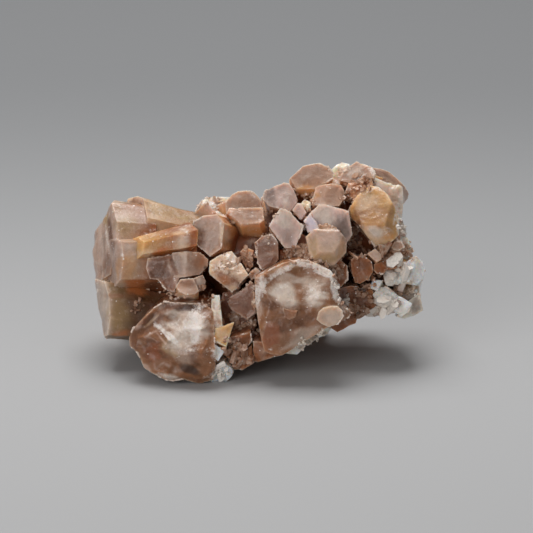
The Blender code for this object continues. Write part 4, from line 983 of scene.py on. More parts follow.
LOWER_PATCHES = [
    ("milk", 5.4, -4.4, 3.2, 2.8, -20, 0.9), ("milk", 12.0, -4.2, 3.2, 2.5, 0, 0.95),
    ("frost", 11.6, -4.0, 2.8, 2.2, 0, 0.75), ("milk", 9.0, -1.2, 4.6, 1.6, 0, 0.65),
    ("frost", 0.0, -2.2, 1.3, 3.2, -8, 1.1), ("tan", 6.0, 1.8, 4.0, 0.7, 12, 0.5),
    ("frost", 3.6, 0.6, 3.4, 0.7, 28, 0.95), ("frost", 9.3, 2.3, 2.6, 0.9, 0, 1.1),
    ("frost", 13.6, 1.0, 3.0, 1.0, -30, 1.1), ("frost", 16.2, -3.2, 1.1, 3.6, 8, 1.15),
    ("frost", -1.0, -4.2, 0.6, 3.0, 3, 0.95), ("frost", 4.6, -2.6, 2.6, 0.5, 24, 0.6),
    ("umber", 2.0, -6.8, 2.2, 1.6, -30, 0.75), ("umber", 4.2, -11.0, 4.6, 2.2, 0, 0.65),
    ("umber", 9.2, -9.2, 3.0, 1.8, 0, 0.5), ("rust", 2.2, -14.0, 1.8, 2.8, 0, 0.75),
    ("brown", 6.4, -8.8, 1.7, 1.1, -10, 0.8), ("milk", 9.4, -13.4, 4.6, 1.4, 28, 0.5),
    # The frost at 1.9, -16.7 on this line is a painted glint.
    ("frost", 1.9, -16.7, 0.8, 0.25, 0, 1.0), ("pink", -0.9, -10.0, 0.4, 5.5, -4, 0.7),
    ("frost", 18.6, -7.2, 1.6, 1.0, -40, 0.6), ("tan", 14.8, -7.8, 1.6, 0.9, 0, 0.5),
    # The umber at -18, -7 here and the dark at -19.5, -7 on the next line paint the shadow under the
    # barrel, over that crystal's own brown.
    ("milk", 16.2, -9.2, 1.6, 1.6, 0, 0.5), ("umber", -18.0, -7.0, 6.0, 1.6, 0, 1.0),
    ("dark", -19.5, -7.0, 4.6, 1.0, 0, 0.6), ("umber", -25.0, -10.2, 4.2, 1.7, 42, 0.7),
    ("milk", -17.2, -11.2, 5.2, 3.6, -15, 0.9), ("frost", -14.9, -11.4, 2.2, 4.4, -12, 1.1),
    ("frost", -21.5, -13.2, 2.9, 0.7, -40, 1.1), ("frost", -18.0, -11.2, 4.2, 2.0, 20, 0.5),
    ("umber", -24.4, -16.6, 2.8, 2.6, -20, 0.75), ("brown", -23.0, -20.0, 3.0, 1.6, 0, 0.6),
    ("milk", -18.4, -17.6, 3.8, 1.8, -20, 0.35), ("olive", -20.6, -16.4, 2.0, 1.4, -20, 0.5),
    ("dark", -16.2, -21.3, 2.0, 0.9, -28, 0.75), ("milk", -21.0, -22.9, 3.0, 0.8, -10, 0.8),
    ("pink", -25.4, -13.4, 2.0, 0.3, 28, 0.8), ("pink", -21.8, -15.1, 3.0, 0.3, -48, 0.8),
    ("rust", -24.4, -17.6, 1.8, 1.8, 0, 0.7), ("umber", -15.0, -18.2, 1.2, 2.4, 30, 0.6),
    ("milk", -17.4, -15.6, 3.6, 1.4, 10, 0.8), ("frost", -16.6, -16.6, 3.2, 0.8, 15, 0.6),
    ("pink", -26.0, -20.8, 1.4, 0.6, -35, 0.7), ("umber", -28.8, -14.2, 0.9, 2.6, 0, 0.7),
    ("grey", -12.3, -11.0, 1.0, 3.6, 5, 0.35), ("brown", -13.0, -19.2, 2.0, 1.0, -15, 0.8),
    ("frost", -10.3, -6.8, 0.6, 2.3, 0, 1.0), ("brown", -9.8, -10.7, 0.9, 0.9, 0, 0.8),
    ("tan", -8.8, -13.4, 1.5, 1.8, 15, 0.8), ("frost", -9.6, -15.3, 1.3, 0.3, -25, 0.8),
    ("frost", -10.2, -17.4, 1.4, 1.3, 0, 1.0), ("brown", -11.6, -21.2, 1.2, 0.8, 30, 0.7),
    ("frost", -9.4, -22.8, 2.8, 1.3, 0, 0.8), ("frost", -14.3, -7.2, 1.4, 0.6, 0, 0.6),
]
TOUCHES = [
    ("milk", -36.0, 8.0, 1.2, 3.0, 0, 0.25), ("milk", -30.5, 6.2, 2.0, 0.7, 0, 0.4),
    ("brown", -29.5, 15.4, 1.8, 1.2, 0, 0.35), ("milk", -36.5, -6.0, 1.2, 4.0, 0, 0.35),
    ("frost", -12.0, 16.0, 1.6, 1.2, 0, 0.9), ("pink", 8.2, 14.5, 1.2, 1.2, 0, 0.6),
    ("tan", 10.0, 15.8, 0.9, 0.9, 0, 0.7), ("milk", 25.5, 9.6, 1.6, 0.9, -20, 0.7),
    ("milk", 31.5, 17.0, 0.8, 2.2, 0, 0.9), ("frost", 31.5, 10.0, 1.0, 2.2, 0, 1.0),
    ("brown", -17.0, -2.3, 1.2, 0.9, 0, 0.6), ("milk", -17.0, -5.4, 1.8, 0.7, 0, 0.6),
    ("milk", -13.8, -1.5, 1.0, 1.4, 0, 0.4), ("amber", -8.0, -1.2, 2.2, 1.4, 0, 0.45),
    # The brown at -20, -6.9 here and the umber at -20.4, -7 further down paint the shadow under the barrel,
    # over that crystal's own brown.
    ("frost", 16.0, -3.0, 0.8, 2.4, 10, 1.2), ("brown", -20.0, -6.9, 3.0, 0.7, 20, 0.8),
    ("frost", -21.0, -22.7, 2.8, 0.5, -10, 0.6), ("frost", -10.0, -17.5, 1.3, 1.0, -30, 1.0),
    ("frost", -9.5, -22.5, 1.8, 1.3, 0, 0.7), ("milk", 28.0, -4.5, 2.6, 2.0, 0, 0.6),
    ("milk", -8.2, 9.2, 0.8, 2.2, 0, 0.5), ("milk", -18.0, 7.6, 1.3, 1.6, 0, 0.45),
    ("frost", -14.0, -7.4, 2.4, 0.5, 20, 0.6), ("umber", -20.4, -7.0, 3.4, 0.8, 20, 0.9),
    ("brown", -18.0, -10.3, 2.2, 1.2, 20, 0.35), ("frost", 28.0, -4.5, 2.8, 2.2, 0, 1.0),
    ("frost", -9.4, -17.4, 1.6, 1.4, -30, 1.0), ("milk", 25.5, 9.5, 1.8, 1.1, -20, 0.7),
    ("pink", -27.6, -11.6, 1.2, 0.4, 40, 0.6), ("tan", -24.6, -10.2, 2.2, 0.3, 42, 0.6),
]
CORNER_PATCHES = [
    ("olive", 33.0, -2.9, 1.8, 1.2, 0, 0.95), ("umber", 32.2, -3.6, 1.4, 0.6, -20, 0.8),
    ("grey", 35.2, -7.0, 1.2, 2.4, 0, 0.5), ("brown", 31.4, 3.0, 1.4, 0.9, 0, 0.6),
    ("brown", 34.4, 3.8, 1.2, 0.8, -40, 0.7), ("grey", 30.8, 0.4, 0.35, 2.2, -10, 0.7),
    ("frost", 27.4, -4.0, 2.4, 0.9, -35, 0.9), ("grey", 29.6, -3.4, 2.0, 0.3, -40, 0.7),
    ("frost", 31.4, -8.0, 1.6, 1.0, 0, 0.8), ("umber", 23.0, -6.0, 2.6, 2.2, 0, 0.6),
    ("dark", 22.4, -3.4, 1.6, 0.8, 0, 0.8), ("grey", 18.8, -4.6, 1.2, 1.6, 0, 0.6),
]
PATCHES = (BARREL_PATCHES + UPPER_PATCHES + MIDDLE_PATCHES + LOWER_PATCHES + TOUCHES
           + CORNER_PATCHES)
FRONT_OUT = -9.0                # patches colour only what lies in front of this, mm
PATCH_REACH = 1.9               # how far past its half sizes a patch's broken rim reaches
PATCH_SEED = 300


def patch_weight(points, across, up, wide, tall, turn, seed):
    """How far a point is inside a patch: an oval across the front view, its rim broken by noise."""
    angle = math.radians(turn)
    off_across = points[:, 0] - across
    off_up = points[:, 1] - up
    along = (off_across * math.cos(angle) + off_up * math.sin(angle)) / wide
    over = (-off_across * math.sin(angle) + off_up * math.cos(angle)) / tall
    grain = (math.cos(angle), math.sin(angle), 0.0)
    if tall > wide:
        grain = (-math.sin(angle), math.cos(angle), 0.0)
    fibres = stretched(points, grain, 3.0)
    far = np.sqrt(along ** 2 + over ** 2) + 1.1 * layered(fibres, 1.4, seed, 5)
    return smooth_step(1.4, 0.4, far)


def paint_patches(mesh):
    """Blends the patches into a mesh's tint and frost, while it is in listed millimetres."""
    points = get_points(mesh)
    frost = get_mask(mesh, "frost")
    tint = get_tint(mesh)
    for k, (kind, across, up, wide, tall, turn, strength) in enumerate(PATCHES):
        reach = PATCH_REACH * max(wide, tall)
        near = np.abs(points[:, :2] - (across, up)).max(axis=1) < reach
        near = np.nonzero(near & (points[:, 2] > FRONT_OUT))[0]
        if len(near) == 0:
            continue
        weight = strength * patch_weight(points[near], across, up, wide, tall, turn, PATCH_SEED + k)
        if kind == "frost":
            frost[near] = np.maximum(frost[near], weight)
        else:
            tint[near] += (PIGMENTS[kind] - tint[near]) * weight[:, None]
    set_mask(mesh, "frost", frost)
    set_mask(mesh, "tint", tint)


# Crevices and the grains in them

CELL, CELLS_ROUND = 0.5, 4      # size of a relief's cells, mm, and how many are averaged each way
SUNKEN_MOST, SUNKEN_DIRECTIONS = 9.0, 22
NOTHING = -1e3                  # height of a cell that holds no point


def sunken(points):
    """How deep each point lies below its neighbours, in mm, in the direction it shows best.

    For each of a set of directions the highest point of every cell of a grid across it makes a
    relief, the relief is averaged over a few cells, and the point's depth below that average
    counts. The least depth over all directions is kept.
    """
    least = np.full(len(points), SUNKEN_MOST)
    for direction in sphere_directions(SUNKEN_DIRECTIONS):
        side = unit(np.cross(direction, (0.3, 1.0, 0.2)))
        other = np.cross(direction, side)
        flat = np.stack((points @ side, points @ other), axis=1)
        height = points @ direction
        low = flat.min(axis=0) - CELL * (CELLS_ROUND + 1)
        cell = np.floor((flat - low) / CELL).astype(int)
        shape = cell.max(axis=0) + CELLS_ROUND + 2
        index = cell[:, 0] * shape[1] + cell[:, 1]
        top = np.full(shape[0] * shape[1], NOTHING)
        np.maximum.at(top, index, height)
        seen = (top > NOTHING + 1.0).astype(float)
        relief = box_sum((top * seen).reshape(shape), CELLS_ROUND)
        known = box_sum(seen.reshape(shape), CELLS_ROUND)
        average = (relief / np.maximum(known, 1.0)).reshape(-1)
        least = np.minimum(least, np.maximum(average[index] - height, 0.0))
    return least


def sphere_directions(count):
    """Directions spread evenly over a sphere on a golden spiral."""
    k = np.arange(count) + 0.5
    lift = np.arccos(1.0 - 2.0 * k / count)
    turn = math.pi * (1.0 + math.sqrt(5.0)) * k
    return np.stack((np.cos(turn) * np.sin(lift), np.sin(turn) * np.sin(lift), np.cos(lift)),
                    axis=1)


def box_sum(values, reach):
    """The sum over a square of cells round each cell, by running totals."""
    for axis in (0, 1):
        total = np.cumsum(values, axis=axis)
        ahead = np.roll(total, -reach, axis=axis)
        behind = np.roll(total, reach + 1, axis=axis)
        values = ahead - behind
    return values


def placed(template, frames, scale, places):
    """Copies of a six-sided template, each scaled, turned to its own directions and moved."""
    points = np.einsum("gvk,gkc->gvc", template * scale, frames) + places[:, None, :]
    quads, tips = tube_faces(2, 6)
    step = (np.arange(len(places)) * points.shape[1])[:, None, None]
    faces = ((quads + step).reshape(-1, 4), (tips + step).reshape(-1, 3))
    return points.reshape(-1, 3), faces


def six_corners():
    """The corners of a level regular six-sided outline, one unit from the middle."""
    turn = np.arange(6) * math.tau / 6
    return np.stack((np.cos(turn), np.sin(turn), np.zeros(6)), axis=1)


def grain_shapes(rng, places, sizes, colours, frost):
    """Small six-sided prisms with pointed ends: one template, turned, scaled and moved at once."""
    ring = six_corners() * 0.5
    template = np.concatenate(([[0, 0, -0.75]], ring + (0, 0, -0.45), ring + (0, 0, 0.45),
                               [[0, 0, 0.7]]))
    count, each = len(places), len(template)
    first = unit_rows(rng.normal(size=(count, 3)))
    second = unit_rows(np.cross(first, rng.normal(size=(count, 3))))
    frames = np.stack((first, second, np.cross(first, second)), axis=1)
    scale = sizes[:, None, None] * rng.uniform(0.6, 1.3, (count, 1, 3))
    points, faces = placed(template, frames, scale, places)
    full = np.ones(count * each)
    masks = dict(rim=full * 0.35, end=full * 0.5, depth=full * 0.0, sunk=full * 0.25,
                 tint=np.repeat(colours, each, axis=0), frost=np.repeat(frost, each))
    return points, faces, masks


# Druses on the front: across, up, reach, count, smallest and largest, look

DRUSES = [
    (30.4, 0.4, 3.4, 8, 2.4, 4.6, "white"), (28.8, -6.0, 3.6, 10, 2.4, 5.0, "white"),
    (31.0, -3.0, 5.5, 16, 0.5, 1.3, "white"), (33.0, -3.2, 2.2, 16, 0.8, 1.8, "olive"),
    (27.2, -8.6, 2.0, 8, 0.8, 1.8, "glassy"), (18.6, -6.0, 2.4, 16, 0.6, 1.7, "white"),
    (16.4, -2.0, 1.4, 12, 0.5, 1.3, "white"), (17.4, 0.8, 2.2, 14, 0.7, 1.9, "brown"),
    (22.0, -6.5, 4.4, 34, 1.0, 3.0, "brown"), (-8.5, 3.2, 3.4, 26, 0.4, 1.3, "crust"),
    (-3.4, 3.6, 2.4, 30, 0.7, 2.0, "rust"), (-1.8, 0.2, 1.4, 9, 0.6, 1.3, "rust"),
    (22.3, 20.4, 2.8, 34, 0.6, 1.8, "rust"), (18.4, 17.0, 1.4, 12, 0.5, 1.4, "brown"),
    (28.8, 4.0, 3.2, 30, 0.9, 2.4, "brown"), (33.4, 5.4, 2.4, 20, 0.7, 1.8, "crust"),
    (22.0, 6.0, 3.0, 30, 0.7, 2.0, "dusky"), (-5.6, -17.4, 3.6, 34, 0.9, 3.0, "brown"),
    (-9.5, -22.2, 3.0, 18, 0.8, 2.4, "white"), (9.5, -16.4, 2.6, 14, 0.6, 1.3, "glassy"),
    (13.4, -14.2, 2.2, 14, 0.6, 1.5, "glassy"), (6.8, 4.4, 2.6, 20, 0.7, 1.8, "rust"),
    (1.0, 8.2, 1.6, 8, 0.4, 0.9, "crust"), (31.8, 10.5, 1.9, 12, 0.9, 2.0, "white"),
    (-12.0, 15.8, 3.0, 12, 0.6, 1.8, "cream"), (18.6, 24.6, 1.8, 10, 0.6, 1.4, "cream"),
    (2.0, 13.8, 1.3, 12, 0.5, 1.2, "crust"), (-28.0, -7.6, 2.0, 14, 0.7, 1.9, "brown"),
    (-12.4, -3.6, 2.0, 14, 0.6, 1.7, "brown"), (-12.8, -5.6, 1.4, 6, 0.5, 1.0, "crust"),
    (25.2, 22.0, 1.6, 10, 0.5, 1.2, "cream"), (11.2, 16.6, 1.2, 8, 0.4, 0.9, "crust"),
    (24.0, -1.8, 2.0, 16, 0.7, 2.0, "rust"), (14.0, 2.0, 3.0, 10, 0.5, 1.2, "brown"),
]


FRONT_CELL, FRONT_LAYER = 0.8, 1.6   # druses grow on the foremost layer of each cell, mm


def nearest_cells(points, pitch):
    """Whether each point is near the front: within reach of the foremost point of its cell."""
    cell = np.floor((points[:, :2] - points[:, :2].min(axis=0)) / pitch).astype(int)
    index = cell[:, 0] * (cell[:, 1].max() + 1) + cell[:, 1]
    front = np.full(index.max() + 1, NOTHING)
    np.maximum.at(front, index, points[:, 2])
    return points[:, 2] > front[index] - FRONT_LAYER


ROOT_POINTS = 7                 # a druse crystal's first points are its root


def druse_shapes(rng, places, facings, sizes):
    """Slender six-sided prisms, cut off at a slant, that stand on a surface and lean at random."""
    ring = six_corners()
    count = len(places)
    template = np.concatenate(([[0, 0, -1.1]], ring * 0.40 + (0, 0, -1.0), ring * 0.5,
                               [[0, 0, 0.0]]))
    points = np.tile(template, (count, 1, 1))
    slant = rng.uniform(-0.5, 0.5, (count, 1, 2))
    points[:, ROOT_POINTS:, 2] += 0.35 + np.sum(points[:, ROOT_POINTS:, :2] * slant, axis=2)
    third = unit_rows(facings + rng.normal(size=(count, 3)) * 0.6)
    first = unit_rows(np.cross(third, rng.normal(size=(count, 3))))
    frames = np.stack((first, np.cross(third, first), third), axis=1)
    scale = sizes[:, None, None] * rng.uniform((0.5, 0.35, 0.7), (1.0, 0.8, 1.3), (count, 1, 3))
    return *placed(points, frames, scale, places), len(template)


# Materials


class Value:
    """A socket of a material's nodes, with the operators that its formulas use."""

    def __init__(self, graph, socket):
        self.graph = graph
        self.socket = socket

    def calculate(self, operation, *values):
        """Adds a node that calculates with the values."""
        return self.graph.node("ShaderNodeMath", {"operation": operation}, *values)

    def __add__(self, other):
        return self.calculate("ADD", self, other)

    def __radd__(self, other):
        return self.calculate("ADD", other, self)

    def __sub__(self, other):
        return self.calculate("SUBTRACT", self, other)

    def __mul__(self, other):
        return self.calculate("MULTIPLY", self, other)

    def __rmul__(self, other):
        return self.calculate("MULTIPLY", other, self)


class Graph:
    """A material's nodes."""

    def __init__(self, name):
        self.material = bpy.data.materials.new(name)
        self.material.use_nodes = True
        self.nodes = self.material.node_tree.nodes
        self.links = self.material.node_tree.links
        self.surface = self.nodes["Principled BSDF"]

    def node(self, kind, settings, *values, output=0, **named):
        """Adds any node: its settings first, then values or links of its sockets."""
        made = self.nodes.new(kind)
        for key, value in settings.items():
            setattr(made, key, value)
        for key, value in list(enumerate(values)) + list(named.items()):
            self.plug(value, made.inputs[key])
        return Value(self, made.outputs[output])

    def plug(self, value, socket):
        """Links a value to a socket, or sets the socket to a number or colour."""
        if isinstance(value, Value):
            self.links.new(value.socket, socket)
        else:
            socket.default_value = value

    def set(self, **inputs):
        """Sets the surface's inputs; an underscore stands for a space."""
        for key, value in inputs.items():
            self.plug(value, self.surface.inputs[key.replace("_", " ")])

    def mask(self, key):
        """A number that the mesh holds for each vertex."""
        return self.node("ShaderNodeAttribute", {"attribute_name": key}, output=2)

    def place(self):
        """The object's own coordinates."""
        return self.node("ShaderNodeTexCoord", {}, output=3)

    def noise(self, place, size, detail=3.0, seed=0.0, rough=0.55):
        """Noise from 0 to 1 with features of a size in metres."""
        return self.node("ShaderNodeTexNoise", {"noise_dimensions": "4D"}, Vector=place,
                         W=seed, Scale=1.0 / size, Detail=detail, Roughness=rough)

    def step(self, value, low, high):
        """0 below low, 1 above high, and smooth between."""
        settings = {"interpolation_type": "SMOOTHSTEP"}
        return self.node("ShaderNodeMapRange", settings, value, low, high, 0.0, 1.0)

    def mix(self, share, first, second, blend="MIX"):
        """Mixes two colours."""
        made = self.nodes.new("ShaderNodeMix")
        made.data_type = "RGBA"
        made.blend_type = blend
        self.plug(share, made.inputs[0])
        self.plug(first, made.inputs[6])
        self.plug(second, made.inputs[7])
        return Value(self, made.outputs[2])


def paint(colour):
    """A colour socket's four numbers."""
    return (float(colour[0]), float(colour[1]), float(colour[2]), 1.0)


# Sizes of what the stone's surface shows, metres
COARSE, FINE, GRIT, VEIL_SIZE = 0.0032, 0.0007, 0.00028, 0.0022
# Painted glints: small bright dots that paint highlights.
GLINTS_APART = 0.00045
GLINT_SHARE = 0.93              # how many of the places for a glint stay without one


def stone_material(glow_share=1.0):
    """Aragonite: the crystals' own tint, clouded, with frosty white, chipped rims with a painted highlight,
    painted glints, and rust stain with painted shade in the crevices.
    """
    name = "aragonite stone" if glow_share > 0.5 else "aragonite grains"
    found = bpy.data.materials.get(name)
    if found:
        return found
    settings = bpy.context.scene.aragonite_stone
    graph = Graph(name)
    place = graph.place()
    tint = graph.node("ShaderNodeAttribute", {"attribute_name": "tint"}, output=0)
    frost, rim, sunk = graph.mask("frost"), graph.mask("rim"), graph.mask("sunk")
    coarse = graph.noise(place, COARSE, 4.0, 1.0)
    fine = graph.noise(place, FINE, 4.0, 2.0)
    grit = graph.noise(place, GRIT, 2.0, 3.0)

    shade = 0.44 + 0.60 * coarse + 0.36 * fine + 0.20 * grit
    grey = graph.node("ShaderNodeCombineColor", {}, shade, shade, shade)
    colour = graph.mix(1.0, tint, grey, "MULTIPLY")
    pale = graph.step(graph.node("ShaderNodeRGBToBW", {}, tint), 0.05, 0.30)
    veil = graph.step(graph.noise(place, VEIL_SIZE, 5.0, 7.0, 0.75), 0.50, 0.70) * pale * 0.6
    colour = graph.mix(veil, colour, paint(settings.veil_colour))
    # Whitened rims: partly fresh chips, partly a painted highlight along the edges.
    worn = rim * graph.step(fine, 0.30, 0.60) * settings.rim_wear_and_highlight
    colour = graph.mix(worn, colour, paint(settings.rim_chip_and_highlight_colour))
    snow = graph.step(frost + 1.7 * (fine - 0.5) + 1.2 * (grit - 0.5), 0.20, 1.35)
    colour = graph.mix(snow * 0.9, colour, paint(settings.frost_colour))
    # Sunken places take the crevice colour: partly rust stain, partly painted shade in the crevices.
    stain_and_shade = graph.step(sunk + 0.25 * (fine - 0.5), 0.25, 0.85) * settings.crevice_stain_and_shade
    colour = graph.mix(stain_and_shade, colour, paint(settings.crevice_colour))
    # Painted glints: small dots in the frost colour, most near rims, that paint highlights; the surface is
    # also smoother there.
    cell = graph.node("ShaderNodeTexVoronoi", {}, Vector=place, Scale=1.0 / GLINTS_APART)
    spot = graph.node("ShaderNodeTexVoronoi", {}, output=1, Vector=place, Scale=1.0 / GLINTS_APART)
    spark = graph.node("ShaderNodeTexWhiteNoise", {"noise_dimensions": "3D"}, spot)
    reach = 0.08 + 0.38 * graph.step(spark, GLINT_SHARE, 1.0)
    painted_glint = graph.step(spark, GLINT_SHARE, GLINT_SHARE + 0.005)
    painted_glint = painted_glint * graph.step(reach - cell, 0.0, 0.10)
    painted_glint = painted_glint * graph.step(coarse + rim * 0.9, 0.43, 0.60)
    colour = graph.mix(painted_glint, colour, paint(settings.frost_colour))

    roughness = 0.22 + 0.22 * fine + 0.30 * snow - 0.15 * painted_glint
    bump = graph.node("ShaderNodeBump", {}, Strength=0.7, Distance=0.0002,
                      Height=fine + 0.5 * grit + 0.4 * coarse)
    graph.set(Base_Color=colour, Roughness=roughness, Normal=bump, IOR=1.46,
              Subsurface_Weight=settings.glow * glow_share,
              Subsurface_Radius=(1.0, 0.78, 0.62), Subsurface_Scale=settings.glow_depth,
              Coat_Weight=0.2, Coat_Roughness=0.12)
    return graph.material


def backdrop_material():
    """A matt pale sweep, painted darker towards the back: painted shade where the light falls off."""
    settings = bpy.context.scene.aragonite_stage
    graph = Graph("pale sweep")
    along = graph.node("ShaderNodeSeparateXYZ", {}, graph.place(), output=1)
    # Painted shade: the floor darkens towards the back.
    back = graph.step(along, settings.fade_start, settings.fade_end)
    colour = graph.mix(back, paint(settings.front_colour), paint(settings.back_colour))
    graph.set(Base_Color=colour, Roughness=0.85, Specular_IOR_Level=0.2)
    return graph.material


# Settings that a user would change


class StoneSettings(bpy.types.PropertyGroup):
    veil_colour: bpy.props.FloatVectorProperty(
        name="Veil", description="Milky clouds in the crystals", subtype="COLOR",
        default=tuple(linear(206, 182, 166)))
    # The rim colour serves the chips and a painted highlight along the edges.
    rim_chip_and_highlight_colour: bpy.props.FloatVectorProperty(
        name="Chipped rims", description="Fresh chips on the crystals' edges", subtype="COLOR",
        default=tuple(linear(232, 214, 196)))
    # The frost colour also paints the glints, which are painted highlights.
    frost_colour: bpy.props.FloatVectorProperty(
        name="Frost", description="White crushed and frosted places", subtype="COLOR",
        default=tuple(linear(242, 233, 226)))
    # The crevice colour paints both rust stain and painted shade between the crystals.
    crevice_colour: bpy.props.FloatVectorProperty(
        name="Crevice stain", description="Rust and earth between the crystals", subtype="COLOR",
        default=tuple(linear(140, 82, 50)))
    # Rim wear also sets the strength of the painted highlight on the rims.
    rim_wear_and_highlight: bpy.props.FloatProperty(
        name="Rim wear", description="How white the chipped rims are", default=0.75,
        min=0.0, max=1.0, subtype="FACTOR")
    # The stain's strength also sets the painted shade in the crevices.
    crevice_stain_and_shade: bpy.props.FloatProperty(
        name="Stain", description="How strong the crevice stain is", default=0.85,
        min=0.0, max=1.0, subtype="FACTOR")
    glow: bpy.props.FloatProperty(
        name="Glow", description="Share of light that passes under the surface", default=0.9,
        min=0.0, max=1.0, subtype="FACTOR")
    glow_depth: bpy.props.FloatProperty(
        name="Glow depth", description="How far the light passes under the surface",
        default=0.0019, min=0.0, unit="LENGTH")


class GrainSettings(bpy.types.PropertyGroup):
    count: bpy.props.IntProperty(
        name="Grains", description="Small crystals grown in the crevices", default=5200, min=0)
    smallest: bpy.props.FloatProperty(
        name="Smallest", description="Smallest grain", default=0.00022, unit="LENGTH")
    largest: bpy.props.FloatProperty(
        name="Largest", description="Largest grain", default=0.0012, unit="LENGTH")
    chips: bpy.props.IntProperty(
        name="Rim chips", description="White chips that sit on the rims", default=2400, min=0)


class StageSettings(bpy.types.PropertyGroup):
    # The floor's colour passes from front to back: the darker back is painted shade.
    front_colour: bpy.props.FloatVectorProperty(
        name="Front", description="Floor in front of the specimen", subtype="COLOR",
        default=(0.442, 0.442, 0.445))
    back_colour: bpy.props.FloatVectorProperty(
        name="Back", description="Floor far behind the specimen", subtype="COLOR",
        default=(0.235, 0.238, 0.243))
    fade_start: bpy.props.FloatProperty(
        name="Fade start", description="Where the floor begins to darken", default=-0.05,
        unit="LENGTH")
    fade_end: bpy.props.FloatProperty(
        name="Fade end", description="Where the floor is darkest", default=0.26, unit="LENGTH")
    camera_distance: bpy.props.FloatProperty(
        name="Camera distance", description="From the specimen's middle", default=1.2,
        unit="LENGTH")
    view_width: bpy.props.FloatProperty(
        name="View width", description="What the frame takes in at the middle",
        default=0.1211, unit="LENGTH")


# Operators


BACK = "back_crystals"
BACK_SPACING = 0.5              # between points of the back's crystals, mm
FRONT_SEED, LUMP_SEED, BACK_SEED, SEED_STEP = 1000, 500, 5000, 40
GRAIN_SEED, DRUSE_SEED = 77, 123
STAIN_AND_SHADE_DEEP = 3.0                # a point sunken by this much takes the full stain and painted shade, mm
PALE_GRAINS = 0.22


class ARAGONITE_OT_front(bpy.types.Operator):
    """Grows the crystals of the front, one piece for each part of the specimen"""

    bl_idname = "aragonite.front"
    bl_label = "Front crystals"

    def execute(self, context):
        seed = FRONT_SEED
        for name, (items, spacing) in GROUPS.items():
            surfaces = []
            for item in items:
                surfaces.append(crystal_surface(item, spacing, seed))
                seed += SEED_STEP
            mesh = grown_together(name, surfaces)
            paint_patches(mesh)
            add_piece(name, mesh)
        return {"FINISHED"}


class ARAGONITE_OT_back(bpy.types.Operator):
    """Grows the crystals of the back and the inner mass"""

    bl_idname = "aragonite.back"
    bl_label = "Back crystals"

    def execute(self, context):
        surfaces = [lump_surface(*item, LUMP_SEED + k) for k, item in enumerate(CORE)]
        for k, item in enumerate(hidden_crystals() + BACK_FEET):
            surfaces.append(crystal_surface(item, BACK_SPACING, BACK_SEED + SEED_STEP * k))
        add_piece(BACK, grown_together(BACK, surfaces))
        return {"FINISHED"}


class ARAGONITE_OT_crevices(bpy.types.Operator):
    """Stains the crevices with rust and painted shade, and grows small crystals in them"""

    bl_idname = "aragonite.crevices"
    bl_label = "Crevices and grains"

    def execute(self, context):
        settings = context.scene.aragonite_grains
        pieces = [bpy.data.objects[name] for name in [*GROUPS, BACK]]
        points = np.concatenate([to_view(get_points(p.data)) for p in pieces])
        depth = sunken(points)
        start = 0
        for piece in pieces:
            count = len(piece.data.vertices)
            set_mask(piece.data, "sunk", depth[start:start + count] / STAIN_AND_SHADE_DEEP)
            start += count
        rim = np.concatenate([get_mask(p.data, "rim") for p in pieces])
        rng = np.random.default_rng(GRAIN_SEED)
        wanted = smooth_step(0.5, 1.6, depth) * smooth_step(6.0, 3.0, depth)
        wanted *= smooth_step(-0.15, 0.4, layered(points, 5.0, 91, 2))
        chosen = rng.choice(len(points), settings.count, p=wanted / wanted.sum())
        share = rng.random(settings.count)[:, None]
        colours = LOOKS["rust"].end * (1.0 - share) + LOOKS["crust"].end * share
        pale = rng.random(settings.count) < PALE_GRAINS
        sizes = rng.uniform(settings.smallest, settings.largest, settings.count) / MM
        sizes *= rng.uniform(0.4, 1.0, settings.count)
        places = points[chosen]
        edge = smooth_step(0.75, 0.98, rim) * (depth < 0.6)
        edge *= smooth_step(0.05, 0.5, layered(points, 2.4, 92, 2))
        edge *= np.where(points[:, 2] > FRONT_OUT, 1.0, 0.2)
        near = rng.choice(len(points), settings.chips, p=edge / edge.sum())
        places = np.concatenate((places, points[near]))
        sizes = np.concatenate((sizes, rng.uniform(0.14, 0.38, settings.chips)))
        colours = np.concatenate((colours, np.tile(LOOKS["cream"].end, (settings.chips, 1))))
        frost = np.concatenate((pale * 0.7, rng.uniform(0.2, 0.9, settings.chips)))
        made, faces, masks = grain_shapes(rng, places, sizes, colours, frost)
        add_piece("crevice_grains", fill_mesh("crevice_grains", made, faces, masks), 0.0)
        return {"FINISHED"}


